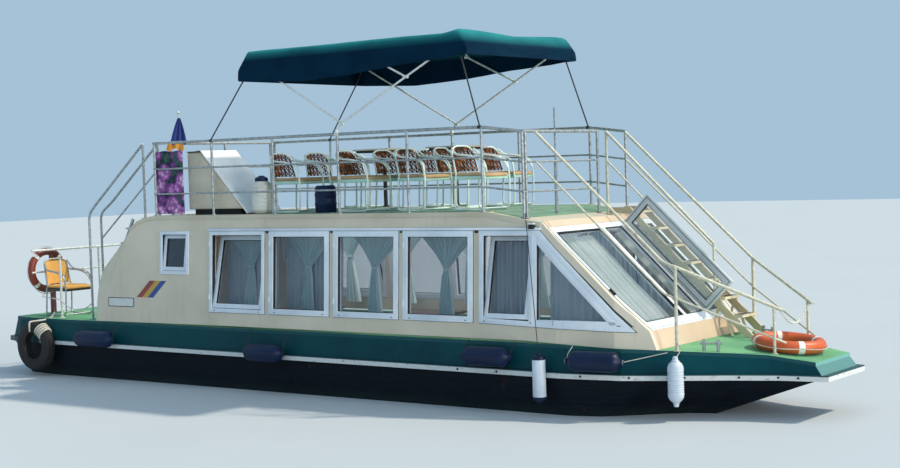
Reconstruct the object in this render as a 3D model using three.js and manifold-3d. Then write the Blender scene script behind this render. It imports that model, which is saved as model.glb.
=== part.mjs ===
// A houseboat: a shallow flat-bottomed steel hull, a glazed saloon over it,
// and a roof deck with rails, seats, stairs and a sun canopy on a tube frame.
// Millimetres. +X points to the bow, +Y to port and +Z up. The origin is the middle of the flat bottom.
import * as THREE from 'three';
import { mergeVertices } from 'three/addons/utils/BufferGeometryUtils.js';
import Module from 'manifold-3d';

const wasm = await Module();
wasm.setup();

// Driving dimensions
const gap = 0.3;                 // clearance between touching pieces
const halfLength = 6264;
const halfBeam = 1410;           // over the rub rail
const rubProud = 40;             // rub rail outside the plating
const rubHeight = 64;
const deckInset = 95;            // the deck edge inside the rub rail
const deckPlate = 40;
const waterline = 380;
const wellFloor = 600;           // saloon floor inside the hull
const wallFoot = 1190;           // height at which the cabin plan is measured
const wallThick = 60;
const wallLean = 0.059;          // the side walls lean in by this share of the height
const roofTop = 2661;
const roofThick = 50;
const sillZ = 1380;
const headZ = 2447;
const frameWide = 75;
const glassThick = 8;
const railHeight = 1000;
const postRadius = 17;
const railRadius = 18.5;
const thinRadius = 12;
const railHalf = 1200;           // half the width between the roof's side rails
const postPitch = 1092;
const firstPostX = -3070;
const canopyHalf = 1200;

const group = new THREE.Group();

// Finishes: colour, roughness, metalness
const finishes = {
  hullBlack: [0x14181b, 0.55, 0.1],
  hullGreen: [0x0d4a40, 0.45, 0.1],
  rubWhite: [0xc9c9c2, 0.6, 0.2],
  deckGreen: [0x5fae74, 0.8, 0.0],
  cream: [0xe3d6b4, 0.6, 0.0],
  plasticWhite: [0xf1f3f3, 0.35, 0.0],
  steel: [0xaeb4b5, 0.4, 0.8],
  canopyGreen: [0x0f4f41, 0.85, 0.0],
  wicker: [0x8a6a45, 0.8, 0.0],
  fenderBlue: [0x16223a, 0.5, 0.0],
  fenderWhite: [0xe6e6e2, 0.5, 0.0],
  rubber: [0x1a1a1a, 0.8, 0.0],
  orange: [0xe2562a, 0.5, 0.0],
  yellow: [0xe3a53a, 0.6, 0.0],
  curtainMint: [0xb9d8cb, 0.9, 0.0],
  wood: [0x7c5636, 0.6, 0.0],
  panelDark: [0x2c2230, 0.8, 0.0],
  bronze: [0x8d7440, 0.4, 0.8],
  beige: [0xdccdb0, 0.6, 0.0],
  engineGrey: [0x4f565a, 0.6, 0.3],
  maroon: [0x5a2326, 0.6, 0.1],
};

// Turns a closed geometry into a solid for cutting and joining, with its faces pointing out
function solid(geometry) {
  const bare = geometry.clone();
  bare.deleteAttribute('normal');
  bare.deleteAttribute('uv');
  const merged = mergeVertices(bare, 1e-3);
  const points = merged.attributes.position.array;
  const corners = Uint32Array.from(merged.index.array);
  if (signedVolume(points, corners) < 0) {
    for (let i = 0; i < corners.length; i += 3) {
      [corners[i], corners[i + 1]] = [corners[i + 1], corners[i]];
    }
  }
  return new wasm.Manifold(new wasm.Mesh({ numProp: 3, vertProperties: points, triVerts: corners }));
}

function signedVolume(points, corners) {
  let volume = 0;
  for (let i = 0; i < corners.length; i += 3) {
    const [a, b, c] = [0, 1, 2].map((k) => new THREE.Vector3().fromArray(points, corners[i + k] * 3));
    volume += a.dot(b.cross(c)) / 6;
  }
  return volume;
}

function join(solids) {
  return solids.reduce((all, one) => all.add(one));
}

// Adds a solid to the boat as one named piece
function piece(name, body, finish) {
  const mesh = body.getMesh();
  const geometry = new THREE.BufferGeometry();
  geometry.setAttribute('position', new THREE.BufferAttribute(mesh.vertProperties, 3));
  geometry.setIndex(new THREE.BufferAttribute(mesh.triVerts, 1));
  geometry.computeVertexNormals();
  const [color, roughness, metalness] = finishes[finish];
  const shown = new THREE.Mesh(geometry, new THREE.MeshStandardMaterial({ color, roughness, metalness }));
  shown.name = name;
  group.add(shown);
  return shown;
}

// A block between two opposite corners
function block([x0, x1], [y0, y1], [z0, z1]) {
  const box = new THREE.BoxGeometry(x1 - x0, y1 - y0, z1 - z0);
  box.translate((x0 + x1) / 2, (y0 + y1) / 2, (z0 + z1) / 2);
  return solid(box);
}

function outline(points) {
  return new THREE.Shape(points.map(([a, b]) => new THREE.Vector2(a, b)));
}

// An outline drawn in x and z, as thick as y0 to y1
function sidePlate(points, y0, y1) {
  const plate = new THREE.ExtrudeGeometry(outline(points), { depth: y1 - y0, bevelEnabled: false });
  const basis = new THREE.Matrix4().makeBasis(
    new THREE.Vector3(1, 0, 0), new THREE.Vector3(0, 0, 1), new THREE.Vector3(0, -1, 0));
  plate.applyMatrix4(basis).translate(0, y1, 0);
  return solid(plate);
}

// An outline drawn in y and z, as long as x0 to x1
function endPlate(points, x0, x1) {
  const plate = new THREE.ExtrudeGeometry(outline(points), { depth: x1 - x0, bevelEnabled: false });
  const basis = new THREE.Matrix4().makeBasis(
    new THREE.Vector3(0, 1, 0), new THREE.Vector3(0, 0, 1), new THREE.Vector3(1, 0, 0));
  plate.applyMatrix4(basis).translate(x0, 0, 0);
  return solid(plate);
}

// A round bar between two points
function rod(from, to, radius, sides = 6) {
  const a = new THREE.Vector3(...from);
  const b = new THREE.Vector3(...to);
  const bar = new THREE.CylinderGeometry(radius, radius, a.distanceTo(b), sides);
  const turn = new THREE.Quaternion().setFromUnitVectors(
    new THREE.Vector3(0, 1, 0), b.clone().sub(a).normalize());
  bar.applyQuaternion(turn).translate(...a.clone().add(b).multiplyScalar(0.5).toArray());
  return solid(bar);
}

// Bars end to end through a row of points
function bars(points, radius, sides = 6) {
  return join(points.slice(1).map((point, i) => rod(points[i], point, radius, sides)));
}

function ball(centre, radius, detail = 8) {
  const shape = new THREE.SphereGeometry(radius, detail, detail / 2 + 1);
  shape.translate(...centre);
  return solid(shape);
}

// A solid of revolution about a line from a point along a direction; the profile is radius, height
function turned(profile, base, direction, sides = 16) {
  const shape = new THREE.LatheGeometry(profile.map(([r, h]) => new THREE.Vector2(r, h)), sides);
  const turn = new THREE.Quaternion().setFromUnitVectors(
    new THREE.Vector3(0, 1, 0), new THREE.Vector3(...direction).normalize());
  shape.applyQuaternion(turn).translate(...base);
  return solid(shape);
}

function ringTorus(centre, radius, tube, axisTurn, sides = 8, around = 24) {
  const shape = new THREE.TorusGeometry(radius, tube, sides, around);
  shape.applyQuaternion(new THREE.Quaternion().setFromEuler(new THREE.Euler(...axisTurn)));
  shape.translate(...centre);
  return solid(shape);
}

// Reads a table of [x, value] rows with straight lines between them
function along(table, x) {
  if (x <= table[0][0]) return table[0][1];
  for (let i = 1; i < table.length; i++) {
    const [x0, v0] = table[i - 1];
    const [x1, v1] = table[i];
    if (x <= x1) return v0 + ((v1 - v0) * (x - x0)) / (x1 - x0);
  }
  return table[table.length - 1][1];
}

// A symmetric solid stacked from plan levels; each level is a row of [x, half width, z] from stern to bow
function levels(rows) {
  const count = rows[0].length;
  const points = [];
  for (const row of rows) {
    for (const [x, half, z] of row) points.push(x, half, z);
    for (const [x, half, z] of row) points.push(x, -half, z);
  }
  const port = (level, i) => level * count * 2 + i;
  const starboard = (level, i) => level * count * 2 + count + i;
  const faces = [];
  const quad = (a, b, c, d) => faces.push(a, b, c, a, c, d);
  const top = rows.length - 1;
  for (let i = 0; i < count - 1; i++) {
    quad(port(0, i), port(0, i + 1), starboard(0, i + 1), starboard(0, i));
    quad(port(top, i), starboard(top, i), starboard(top, i + 1), port(top, i + 1));
  }
  for (let level = 0; level < top; level++) {
    for (let i = 0; i < count - 1; i++) {
      quad(port(level, i), port(level + 1, i), port(level + 1, i + 1), port(level, i + 1));
      quad(starboard(level, i), starboard(level, i + 1), starboard(level + 1, i + 1), starboard(level + 1, i));
    }
    quad(port(level, 0), starboard(level, 0), starboard(level + 1, 0), port(level + 1, 0));
    const end = count - 1;
    quad(port(level, end), port(level + 1, end), starboard(level + 1, end), starboard(level, end));
  }
  const geometry = new THREE.BufferGeometry();
  geometry.setAttribute('position', new THREE.Float32BufferAttribute(points, 3));
  geometry.setIndex(faces);
  return solid(geometry);
}

const mirrored = (body) => body.mirror([0, 1, 0]);

// Hull

// Rub rail in plan: x, half width
const rubPlan = [[-6264, 1235], [-6215, 1290], [-6050, 1340], [-5213, halfBeam], [3549, halfBeam],
  [4216, 1305], [4730, 1067], [5263, 800], [5739, 600], [halfLength, 500]];
const rubLine = [[-6264, 874], [0, 849], [6264, 838]];
const deckLine = [[-6200, 1190], [-4250, 1190], [-2000, 1205], [3000, 1200], [4600, 1126], [5635, 1068],
  [6103, 1002]];
const taperAft = -5213;
const taperFore = 3549;

// One level of the hull: the plan drawn in to its own stern, bow and half width
function hullLevel({ stern, bow, half, height }) {
  return rubPlan.map(([x, width]) => {
    let place = x;
    if (x < taperAft) place = taperAft + ((x - taperAft) * (stern - taperAft)) / (-halfLength - taperAft);
    if (x > taperFore) place = taperFore + ((x - taperFore) * (bow - taperFore)) / (halfLength - taperFore);
    return [place, (width * half) / halfBeam, typeof height === 'function' ? height(place) : height];
  });
}

const rubHalf = halfBeam - rubProud;
const deckHalf = halfBeam - deckInset;
const deckStern = -6180;
const deckBow = 6110;

const bottomLevel = hullLevel({ stern: -5560, bow: 4350, half: 1120, height: 0 });
const chineLevel = hullLevel({ stern: -5700, bow: 4600, half: 1215, height: 130 });
const waterLevel = hullLevel({ stern: -5930, bow: 4930, half: 1285, height: waterline });
const plateRub = { stern: -6224, bow: 6200, half: rubHalf };
const rubTop = (x) => along(rubLine, x);
const deckTop = (x) => along(deckLine, x);
const hullTopLevel = hullLevel({ ...plateRub, height: (x) => rubTop(x) - gap });
const deckLevel = (height) => hullLevel({ stern: deckStern, bow: deckBow, half: deckHalf, height });

// Saloon well in plan: x, half width
const wellPlan = [[-4150, 1150], [3500, 1150], [3950, 1080], [4440, 870]];
const saloonWell = levels([wellFloor, 3000].map((z) => wellPlan.map(([x, half]) => [x, half, z])));
const engineRoom = block([-5500, -4500], [-520, 520], [250, 1400]);
const shaftZ = 220;
const shaftTunnel = block([-6300, -5380], [-23, 23], [shaftZ - 23, shaftZ + 23]);
const stock = { x: -6120, radius: 18, top: 800 };

const lowerHull = levels([bottomLevel, chineLevel, waterLevel, hullTopLevel]);
piece('lower_hull', lowerHull
  .subtract(saloonWell).subtract(engineRoom).subtract(shaftTunnel)
  .subtract(rod([stock.x, 0, 300], [stock.x, 0, stock.top + 10], stock.radius + 6, 12)), 'hullBlack');

const topside = levels([
  hullLevel({ ...plateRub, height: (x) => rubTop(x) }),
  deckLevel((x) => deckTop(x) - deckPlate - gap),
]);
piece('topside_plating', topside.subtract(saloonWell).subtract(engineRoom), 'hullGreen');

// Rub rail: a steel strip right round the hull, white with rust
const rubOuter = (drop) => hullLevel({ stern: -halfLength, bow: halfLength, half: halfBeam,
  height: (x) => rubTop(x) + drop });
const rubInner = (drop, grow) => hullLevel({ stern: plateRub.stern - grow, bow: plateRub.bow + grow,
  half: plateRub.half + grow, height: (x) => rubTop(x) + drop });
const rubSolid = levels([rubOuter(-rubHeight / 2), rubOuter(rubHeight / 2)])
  .subtract(levels([rubInner(-rubHeight, 4), rubInner(rubHeight, 4)]));
piece('rub_rail', rubSolid, 'rubWhite');

// Deck: one plate from stern to bow, open under the cabin
const deckSolid = levels([deckLevel((x) => deckTop(x) - deckPlate), deckLevel((x) => deckTop(x))]);
piece('deck', deckSolid.subtract(saloonWell), 'deckGreen');

// Cabin

// Cabin wall in plan at the wall foot: x, half width
const cabinPlan = [[-4400, 1302], [3400, 1302], [4100, 1222], [4435, 1090], [4560, 1035]];
const cabinBase = 1100;
const cabinCrown = 2800;

// A block with the cabin's outside, drawn in by an inset
function cabinBlock(inset) {
  const level = (z) => cabinPlan.map(([x, half], i) => [
    i === 0 ? x - 600 : i === cabinPlan.length - 1 ? x + 300 : x,
    half - inset - (z - wallFoot) * wallLean - (i === cabinPlan.length - 1 ? 100 : 0), z]);
  return levels([level(cabinBase), level(cabinCrown)]);
}
const wallOuter = (x, z) => along(cabinPlan, x) - (z - wallFoot) * wallLean;

// Side view of the cabin: aft slope, roof line, windscreen slope
const aftFoot = [-4292, 1190];
const aftHead = [-3570, 2494];
const screenHead = [3190, 2535];
const screenFoot = [4460, 1336];
const frontFoot = [4535, deckTop(4535) + 1];
const roofUnder = roofThick + gap;
const roofLine = [[-3570, 2494], [-3440, 2590], [-3269, 2640], [-3050, roofTop], [2450, roofTop],
  [screenHead[0], screenHead[1]]];
const roofZ = (x) => along(roofLine, x);

const aftRun = (aftHead[0] - aftFoot[0]) / (aftHead[1] - aftFoot[1]);
// The roof line lowered, its aft end kept on the aft slope
const lowered = (drop) => roofLine.map(([x, z], i) => [i === 0 ? x - drop * aftRun : x, z - drop]);
const wallProfile = [
  [aftFoot[0] + 1, 1191], ...lowered(roofUnder), [screenHead[0] + gap, screenHead[1] - roofUnder],
  [screenHead[0] + gap, screenHead[1] - gap], screenFoot, frontFoot, [3000, 1201], [-2000, 1206]];

// Windows on each side: name, first x, last x, sill z, head z
const windows = [
  ['small', -2982, -2431, 1868, headZ],
  ['one', -2040, -1045, sillZ, headZ],
  ['two', -964, 50, sillZ, headZ],
  ['three', 123, 1153, sillZ, headZ],
  ['four', 1222, 2256, sillZ, headZ],
];
const longWindow = { aft: 2344, mullion: 3137, tip: 4305 };
const screenSlope = (screenHead[1] - screenFoot[1]) / (screenFoot[0] - screenHead[0]);
const longHeadX = longWindow.tip - (headZ - sillZ) / screenSlope;
const rectangle = (x0, x1, z0, z1, inset = 0) => [
  [x0 + inset, z0 + inset], [x1 - inset, z0 + inset], [x1 - inset, z1 - inset], [x0 + inset, z1 - inset]];
const longOutline = (inset) => [
  [longWindow.aft + inset, sillZ + inset], [longWindow.tip - inset * 2.6, sillZ + inset],
  [longHeadX - inset * 0.45, headZ - inset], [longWindow.aft + inset, headZ - inset]];

const holes = join([
  ...windows.map(([, x0, x1, z0, z1]) => sidePlate(rectangle(x0, x1, z0, z1, -gap), -2000, 0)),
  sidePlate(longOutline(-gap), -2000, 0),
]);

const shell = cabinBlock(0).subtract(cabinBlock(wallThick));
const starboardWall = shell.intersect(sidePlate(wallProfile, -2000, -100)).subtract(holes);
piece('cabin_side_starboard', starboardWall, 'cream');
piece('cabin_side_port', mirrored(starboardWall), 'cream');

// Window frames with their panes, joined along the top by the white gutter strip
const frameSkin = cabinBlock(-14).subtract(cabinBlock(wallThick + 6));
const paneSkin = cabinBlock(26).subtract(cabinBlock(26 + glassThick));
function framed(outer, inner) {
  return frameSkin.intersect(outer.subtract(inner)).add(paneSkin.intersect(outer));
}
const gutterSkin = cabinBlock(-22).subtract(cabinBlock(-2));
function sideWindows() {
  const frames = windows.slice(1).map(([, x0, x1, z0, z1]) => framed(
    sidePlate(rectangle(x0, x1, z0, z1), -2000, 0),
    sidePlate(rectangle(x0, x1, z0, z1, frameWide), -2000, 0)));
  const longPrism = sidePlate(longOutline(0), -2000, 0);
  const mullion = frameSkin.intersect(longPrism).intersect(sidePlate(
    rectangle(longWindow.mullion - frameWide, longWindow.mullion + 55, sillZ, headZ), -2000, 0));
  const long = framed(longPrism, sidePlate(longOutline(frameWide), -2000, 0)).add(mullion);
  const gutter = gutterSkin.intersect(sidePlate(
    rectangle(-2060, longHeadX + 20, headZ - 8, headZ + 34), -2000, 0));
  return join([...frames, long, gutter]);
}
const starboardWindows = sideWindows();
piece('saloon_windows_starboard', starboardWindows, 'plasticWhite');
piece('saloon_windows_port', mirrored(starboardWindows), 'plasticWhite');
const [, smallX0, smallX1, smallZ0, smallZ1] = windows[0];
const smallWindow = framed(
  sidePlate(rectangle(smallX0, smallX1, smallZ0, smallZ1), -2000, 0),
  sidePlate(rectangle(smallX0, smallX1, smallZ0, smallZ1, frameWide), -2000, 0));
piece('aft_window_starboard', smallWindow, 'plasticWhite');
piece('aft_window_port', mirrored(smallWindow), 'plasticWhite');

// Aft wall with its doorway, on the aft slope
const aftSlope = [(aftHead[0] - aftFoot[0]), (aftHead[1] - aftFoot[1])];
const aftLength = Math.hypot(...aftSlope);
const aftUp = [aftSlope[0] / aftLength, aftSlope[1] / aftLength];
const aftOut = [-aftUp[1], aftUp[0]];
// A point of the side view from its distance up the aft slope and its distance outside the slope
const onAft = (up, out) => [
  aftFoot[0] + aftUp[0] * up + aftOut[0] * out, aftFoot[1] + aftUp[1] * up + aftOut[1] * out];
const inside = cabinBlock(wallThick + gap);
const doorWide = { starboard: -300, port: 330 };
const doorFoot = 90;
const doorHead = 1400;
const aftSlab = (u0, u1, out0, out1, y0, y1) => sidePlate(
  [onAft(u0, out0), onAft(u1, out0), onAft(u1, out1), onAft(u0, out1)], y0, y1);
const aboveWalls = sidePlate(
  [...lowered(roofUnder), [screenHead[0], 3500], [-5000, 3500], [-5000, 2400]], -2000, 2000);
const aftWall = sidePlate(
  [onAft(18, 0), onAft(aftLength, 0), onAft(aftLength + 40, -wallThick), onAft(52, -wallThick)], -2000, 2000)
  .intersect(inside)
  .subtract(aboveWalls)
  .subtract(aftSlab(doorFoot, doorHead, -200, 200, doorWide.starboard, doorWide.port));
piece('cabin_aft_wall', aftWall, 'cream');
const aftDoor = aftSlab(doorFoot + 6, doorHead - 6, -50, -6, doorWide.starboard + 6, doorWide.port - 6)
  .add(aftSlab(doorFoot + 600, doorFoot + 730, -8, 34, doorWide.starboard + 40, doorWide.starboard + 62));
piece('aft_door', aftDoor, 'plasticWhite');

// Roof
const roofProfile = [...roofLine, ...lowered(roofThick).reverse()];
const roofPlate = sidePlate(roofProfile, -2000, 2000).intersect(cabinBlock(-12));
piece('cabin_roof', roofPlate, 'cream');

// Windscreen
const screenDown = new THREE.Vector2(screenFoot[0] - screenHead[0], screenFoot[1] - screenHead[1]).normalize();
const screenLength = Math.hypot(screenFoot[0] - screenHead[0], screenFoot[1] - screenHead[1]);
const screenOut = new THREE.Vector2(-screenDown.y, screenDown.x);
const onScreen = (down, out) => [
  screenHead[0] + screenDown.x * down + screenOut.x * out, screenHead[1] + screenDown.y * down + screenOut.y * out];
const screenSlab = (d0, d1, out0, out1, y0, y1) => sidePlate(
  [onScreen(d0, out0), onScreen(d1, out0), onScreen(d1, out1), onScreen(d0, out1)], y0, y1);
const headBar = 170;
const footBar = 125;
const mullions = [-70, 385];
const mullionHalf = 34;
const screenRise = wallThick / screenDown.x;
const screenFrame = sidePlate([
  [screenHead[0] + gap, screenHead[1]], onScreen(screenLength - 2, 0), onScreen(screenLength - 2, -wallThick),
  [screenHead[0] + gap, screenHead[1] - screenRise]], -2000, 2000).intersect(inside);
// Bays: from y, to y, outer edge leaning with the wall
const bayInside = cabinBlock(wallThick + 80);
const bayDepth = (y0, y1) => screenSlab(headBar, screenLength - footBar, 200, -300, y0, y1).intersect(bayInside);
const bays = {
  starboard: bayDepth(-2000, mullions[0] - mullionHalf),
  middle: bayDepth(mullions[0] + mullionHalf, mullions[1] - mullionHalf),
  port: bayDepth(mullions[1] + mullionHalf, 2000),
};
const paneSlab = screenSlab(headBar - 20, screenLength - footBar + 20, -20, -20 - glassThick, -2000, 2000);
const frameCut = Object.values(bays).reduce((frame, bay) => frame.subtract(bay), screenFrame);
const fixedPanes = paneSlab.intersect(inside)
  .subtract(screenSlab(0, screenLength, 100, -200, mullions[0] + 10, mullions[1] - 10));
piece('windscreen', frameCut.add(fixedPanes), 'plasticWhite');

// Opening sash: hinged on the port mullion, drawn shut in the plane of the frame and then swung up
const sashStart = 150;
const sashLong = 1500;
const sashWide = 474;
const sashOpen = 95;
const sashHinge = { y: 385, out: 30 };
function sashShut() {
  const [d0, d1] = [sashStart, sashStart + sashLong];
  const [y0, y1] = [sashHinge.y - sashWide, sashHinge.y];
  const bar = 70;
  const ring = screenSlab(d0, d1, 8, 52, y0, y1)
    .subtract(screenSlab(d0 + bar, d1 - bar, -20, 80, y0 + bar, y1 - bar));
  return ring.add(screenSlab(d0 + bar - 10, d1 - bar + 10, 26, 34, y0 + bar - 10, y1 - bar + 10));
}
const hingeLine = onScreen(0, sashHinge.out);
const sashTurn = new THREE.Matrix4()
  .makeTranslation(hingeLine[0], sashHinge.y, hingeLine[1])
  .multiply(new THREE.Matrix4().makeRotationAxis(
    new THREE.Vector3(screenDown.x, 0, screenDown.y), THREE.MathUtils.degToRad(-sashOpen)))
  .multiply(new THREE.Matrix4().makeTranslation(-hingeLine[0], -sashHinge.y, -hingeLine[1]));
piece('windscreen_sash', sashShut().transform(sashTurn.elements), 'plasticWhite');

// Panel under the windscreen, down to the bow deck
const frontPanel = sidePlate([
  screenFoot, frontFoot, [frontFoot[0] - wallThick, deckTop(frontFoot[0] - wallThick) + 1],
  [screenFoot[0] - wallThick, screenFoot[1]]], -2000, 2000)
  .subtract(screenSlab(-50, screenLength - 2 + gap, 20, -wallThick - gap, -2000, 2000))
  .intersect(inside);
piece('cabin_front_panel', frontPanel, 'cream');

// Roof rails

const railTop = roofTop + railHeight - railRadius;
const railDrops = [0, 350, 690];             // top, middle and low rail below the top one
const railRadii = [railRadius, thinRadius, thinRadius];
const postXs = Array.from({ length: 6 }, (_, i) => firstPostX + i * postPitch);
const lastPostX = postXs[postXs.length - 1];
const noseRail = { x: 2932, half: 1165, top: 3573 };
const stairHalf = { inner: 480, outer: 960 };
const upright = (x, y, foot, top, radius = postRadius) => rod([x, y, foot], [x, y, top], radius);

// One side of the roof rail: posts, three rails and the run in to the front corner post
function sideRail(side, aftEnd) {
  const y = side * railHalf;
  const rows = railDrops.map((drop, i) => bars([
    [aftEnd, y, railTop - drop], [lastPostX, y, railTop - drop],
    [noseRail.x, side * noseRail.half, noseRail.top - drop]], railRadii[i]));
  const posts = postXs.map((x) => upright(x, y, roofTop + gap, railTop));
  const nose = upright(noseRail.x, side * noseRail.half, roofZ(noseRail.x) + 6, noseRail.top);
  return join([...rows, ...posts, nose]);
}
const ladder = {
  near: -1143, far: -870, postX: -4526, farX: -4590, postTop: 2690, bend: 2840, bendX: -4351, topX: -3360,
};
piece('roof_rail_starboard', sideRail(-1, firstPostX - 20), 'steel');
piece('roof_rail_port', sideRail(1, firstPostX - 20), 'steel');

// Front rail, from the starboard corner to the stairs
const frontRail = join([
  ...railDrops.map((drop, i) => rod([noseRail.x, -noseRail.half + postRadius + gap * 2, noseRail.top - drop],
    [noseRail.x, stairHalf.inner + 15 + i, noseRail.top - drop], railRadii[i])),
  upright(noseRail.x, -noseRail.half + 60, roofZ(noseRail.x) + 6, noseRail.top),
  upright(noseRail.x, stairHalf.inner, roofZ(noseRail.x) + 6, noseRail.top),
]);
piece('roof_rail_front', frontRail, 'steel');

// Aft rail across the roof, from the ladder to the port corner
const aftRailX = -3160;
const aftRail = join([
  ...railDrops.map((drop, i) => rod(
    [aftRailX, ladder.far + 60, railTop - drop], [aftRailX, railHalf, railTop - drop], railRadii[i])),
  ...[ladder.far + 60, 250, railHalf].map((y) => upright(aftRailX, y, roofZ(aftRailX) + 8, railTop)),
]);
piece('roof_rail_aft', aftRail, 'steel');

// Ladder from the stern deck to the roof: stringers, rungs, tall posts and sloping handrails
function ladderRail(y, postX) {
  return join([
    upright(postX, y, deckTop(postX) + gap, ladder.postTop),
    bars([[postX, y, ladder.postTop], [ladder.bendX, y, ladder.bend], [ladder.topX, y, railTop]], postRadius),
    ...[345, 690].map((drop) => rod(
      [postX, y, ladder.postTop - drop - 20], [ladder.topX, y, railTop - drop], thinRadius)),
    upright(ladder.topX, y, roofZ(ladder.topX) + 14, railTop),
  ]);
}
piece('ladder_rail_far', ladderRail(ladder.far, ladder.farX), 'steel');
const ladderSide = (y) => aftSlab(40, aftLength + 60, 110, 150, y, y + 24);
const ladderInner = [ladder.near + 30, ladder.far - 54];
const rungs = Array.from({ length: 6 }, (_, i) => {
  const [x, z] = onAft(230 + i * 235, 130);
  return block([x - 90, x + 60], [ladderInner[0] + 10, ladderInner[1] + 14], [z - 12, z + 12]);
});
piece('aft_ladder', join([...ladderInner.map(ladderSide), ...rungs]), 'steel');

// Bow rails and stairs

const kneePoint = { x: 4732, top: 2034 };
const bowPost = { x: 5635, half: 441, top: 1578 };
const bowEnd = { x: 5760, half: 369, top: 1515 };
const bowDrop = 340;
// Bends of the rail beside the stairs: x, height
const bends = { starboard: [[4590, 2076], [kneePoint.x, kneePoint.top]], port: [[kneePoint.x, kneePoint.top - 30]] };
function bowRail(side, start, knees) {
  const y = (half) => side * half;
  const line = (drop) => [[start.x, y(start.half), start.top - drop],
    ...knees.map(([x, z]) => [x, y(stairHalf.outer), z - drop]),
    [bowPost.x, y(bowPost.half), bowPost.top - drop], [bowEnd.x, y(bowEnd.half), bowEnd.top - drop]];
  return join([
    bars(line(0), railRadius), bars(line(bowDrop), thinRadius),
    upright(kneePoint.x, y(stairHalf.outer), deckTop(kneePoint.x) + 2, knees[knees.length - 1][1], 20),
    upright(bowPost.x, y(bowPost.half), deckTop(bowPost.x) + 2, bowPost.top),
  ]);
}
const railStart = { x: noseRail.x + 52, half: stairHalf.outer, top: noseRail.top - 16 };
piece('bow_rail_starboard', bowRail(-1, railStart, bends.starboard), 'steel');
piece('bow_rail_port', bowRail(1, { ...railStart, x: 3050 }, bends.port), 'steel');

// Rail on the inboard side of the stairs
const stairRailEnd = { x: 4471, top: 2205 };
const stairDrop = 350;
const stairTop = { x: 3349, z: roofTop };
const stairSlope = 0.9613;
const stairZ = (x) => stairTop.z - (x - stairTop.x) * stairSlope;
const stringer = { deep: 85, thick: 26 };
const stairRail = join([
  rod([3060, stairHalf.inner, noseRail.top - 10], [stairRailEnd.x, stairHalf.inner, stairRailEnd.top], railRadius),
  rod([3060, stairHalf.inner, noseRail.top - 10 - stairDrop],
    [stairRailEnd.x, stairHalf.inner, stairRailEnd.top - stairDrop], thinRadius),
  upright(3060, stairHalf.inner, roofZ(3060) + 8, noseRail.top - 6),
  upright(stairRailEnd.x, stairHalf.inner, stairZ(stairRailEnd.x) + 40, stairRailEnd.top),
]);
piece('stair_rail', stairRail, 'steel');

// Bow stairs: two stringers, seven treads and a landing foot on the roof
const stairFootX = 4935;
const stairSides = [stairHalf.inner + 30, stairHalf.outer - 40 - stringer.thick];
const stringerOutline = [
  [3040, 2640], [stairTop.x, 2640], [stairFootX, stairZ(stairFootX)], [stairFootX, deckTop(stairFootX) + 2],
  [stairFootX - 111, deckTop(stairFootX - 111) + 2], [stairTop.x - 20, 2640 - stringer.deep], [3120, 2640 - 60],
  [3120, roofZ(3120) + 10], [3040, roofZ(3040) + 10]];
const treads = Array.from({ length: 7 }, (_, i) => {
  const z = 2600 - i * 205;
  const x = stairTop.x + (stairTop.z - z) / stairSlope - 30;
  return block([x - 60, x + 130], [stairSides[0] + 5, stairSides[1] + stringer.thick - 5], [z - 30, z]);
});
const stairs = join([...stairSides.map((y) => sidePlate(stringerOutline, y, y + stringer.thick)), ...treads]);
piece('bow_stairs', stairs, 'beige');

// Thin mast on the roof
const mast = { x: 2815, y: -290, top: 3860 };
const mastFoot = roofZ(mast.x) + 8;
piece('roof_mast', upright(mast.x, mast.y, mastFoot, mast.top, 11)
  .add(upright(mast.x, mast.y, mastFoot, mastFoot + 620, 20)), 'steel');

// Bollards on the bow deck
function bollard(side) {
  const posts = [[4950, -750], [5090, -690]].map(([x, y]) => upright(
    x, y * -side, deckTop(x) + 2, deckTop(x) + 130, 20));
  const bar = rod([4910, 767 * side, deckTop(5000) + 85], [5130, 673 * side, deckTop(5000) + 85], 11);
  return join([...posts, bar]);
}
piece('bow_bollard_starboard', bollard(-1), 'steel');
piece('bow_bollard_port', bollard(1), 'steel');

// Stern rails

const sternRail = { x: -5834, half: 1143, top: 2155, mid: 1690, postX: -5061 };
// Where a level rail ends against the sloping aft wall
const wallEnd = (z) => aftFoot[0] + (z - aftFoot[1]) * aftRun - 16;
function sternSide(side) {
  const y = side * sternRail.half;
  return join([
    rod([sternRail.x, y, sternRail.top], [wallEnd(sternRail.top), y, sternRail.top], railRadius),
    rod([sternRail.x, y, sternRail.mid], [wallEnd(sternRail.mid), y, sternRail.mid], thinRadius),
    ...[sternRail.x, sternRail.postX].map((x) => upright(x, y, deckTop(x) + gap * 8, sternRail.top)),
  ]);
}
piece('stern_rail_starboard', sternSide(-1).add(ladderRail(ladder.near, ladder.postX)), 'steel');
const portPost = upright(ladder.postX, sternRail.half, deckTop(ladder.postX) + 2, sternRail.top);
piece('stern_rail_port', sternSide(1).add(portPost), 'steel');
const sternAft = join([
  ...[[sternRail.top, railRadius], [sternRail.mid, thinRadius]].map(([z, r]) => rod(
    [sternRail.x, -sternRail.half + postRadius + 1, z], [sternRail.x, sternRail.half - postRadius - 1, z], r)),
  ...[-400, 400].map((y) => upright(sternRail.x, y, deckTop(sternRail.x) + 3, sternRail.top)),
]);
piece('stern_rail_aft', sternAft, 'steel');

// Helm on the roof

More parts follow.
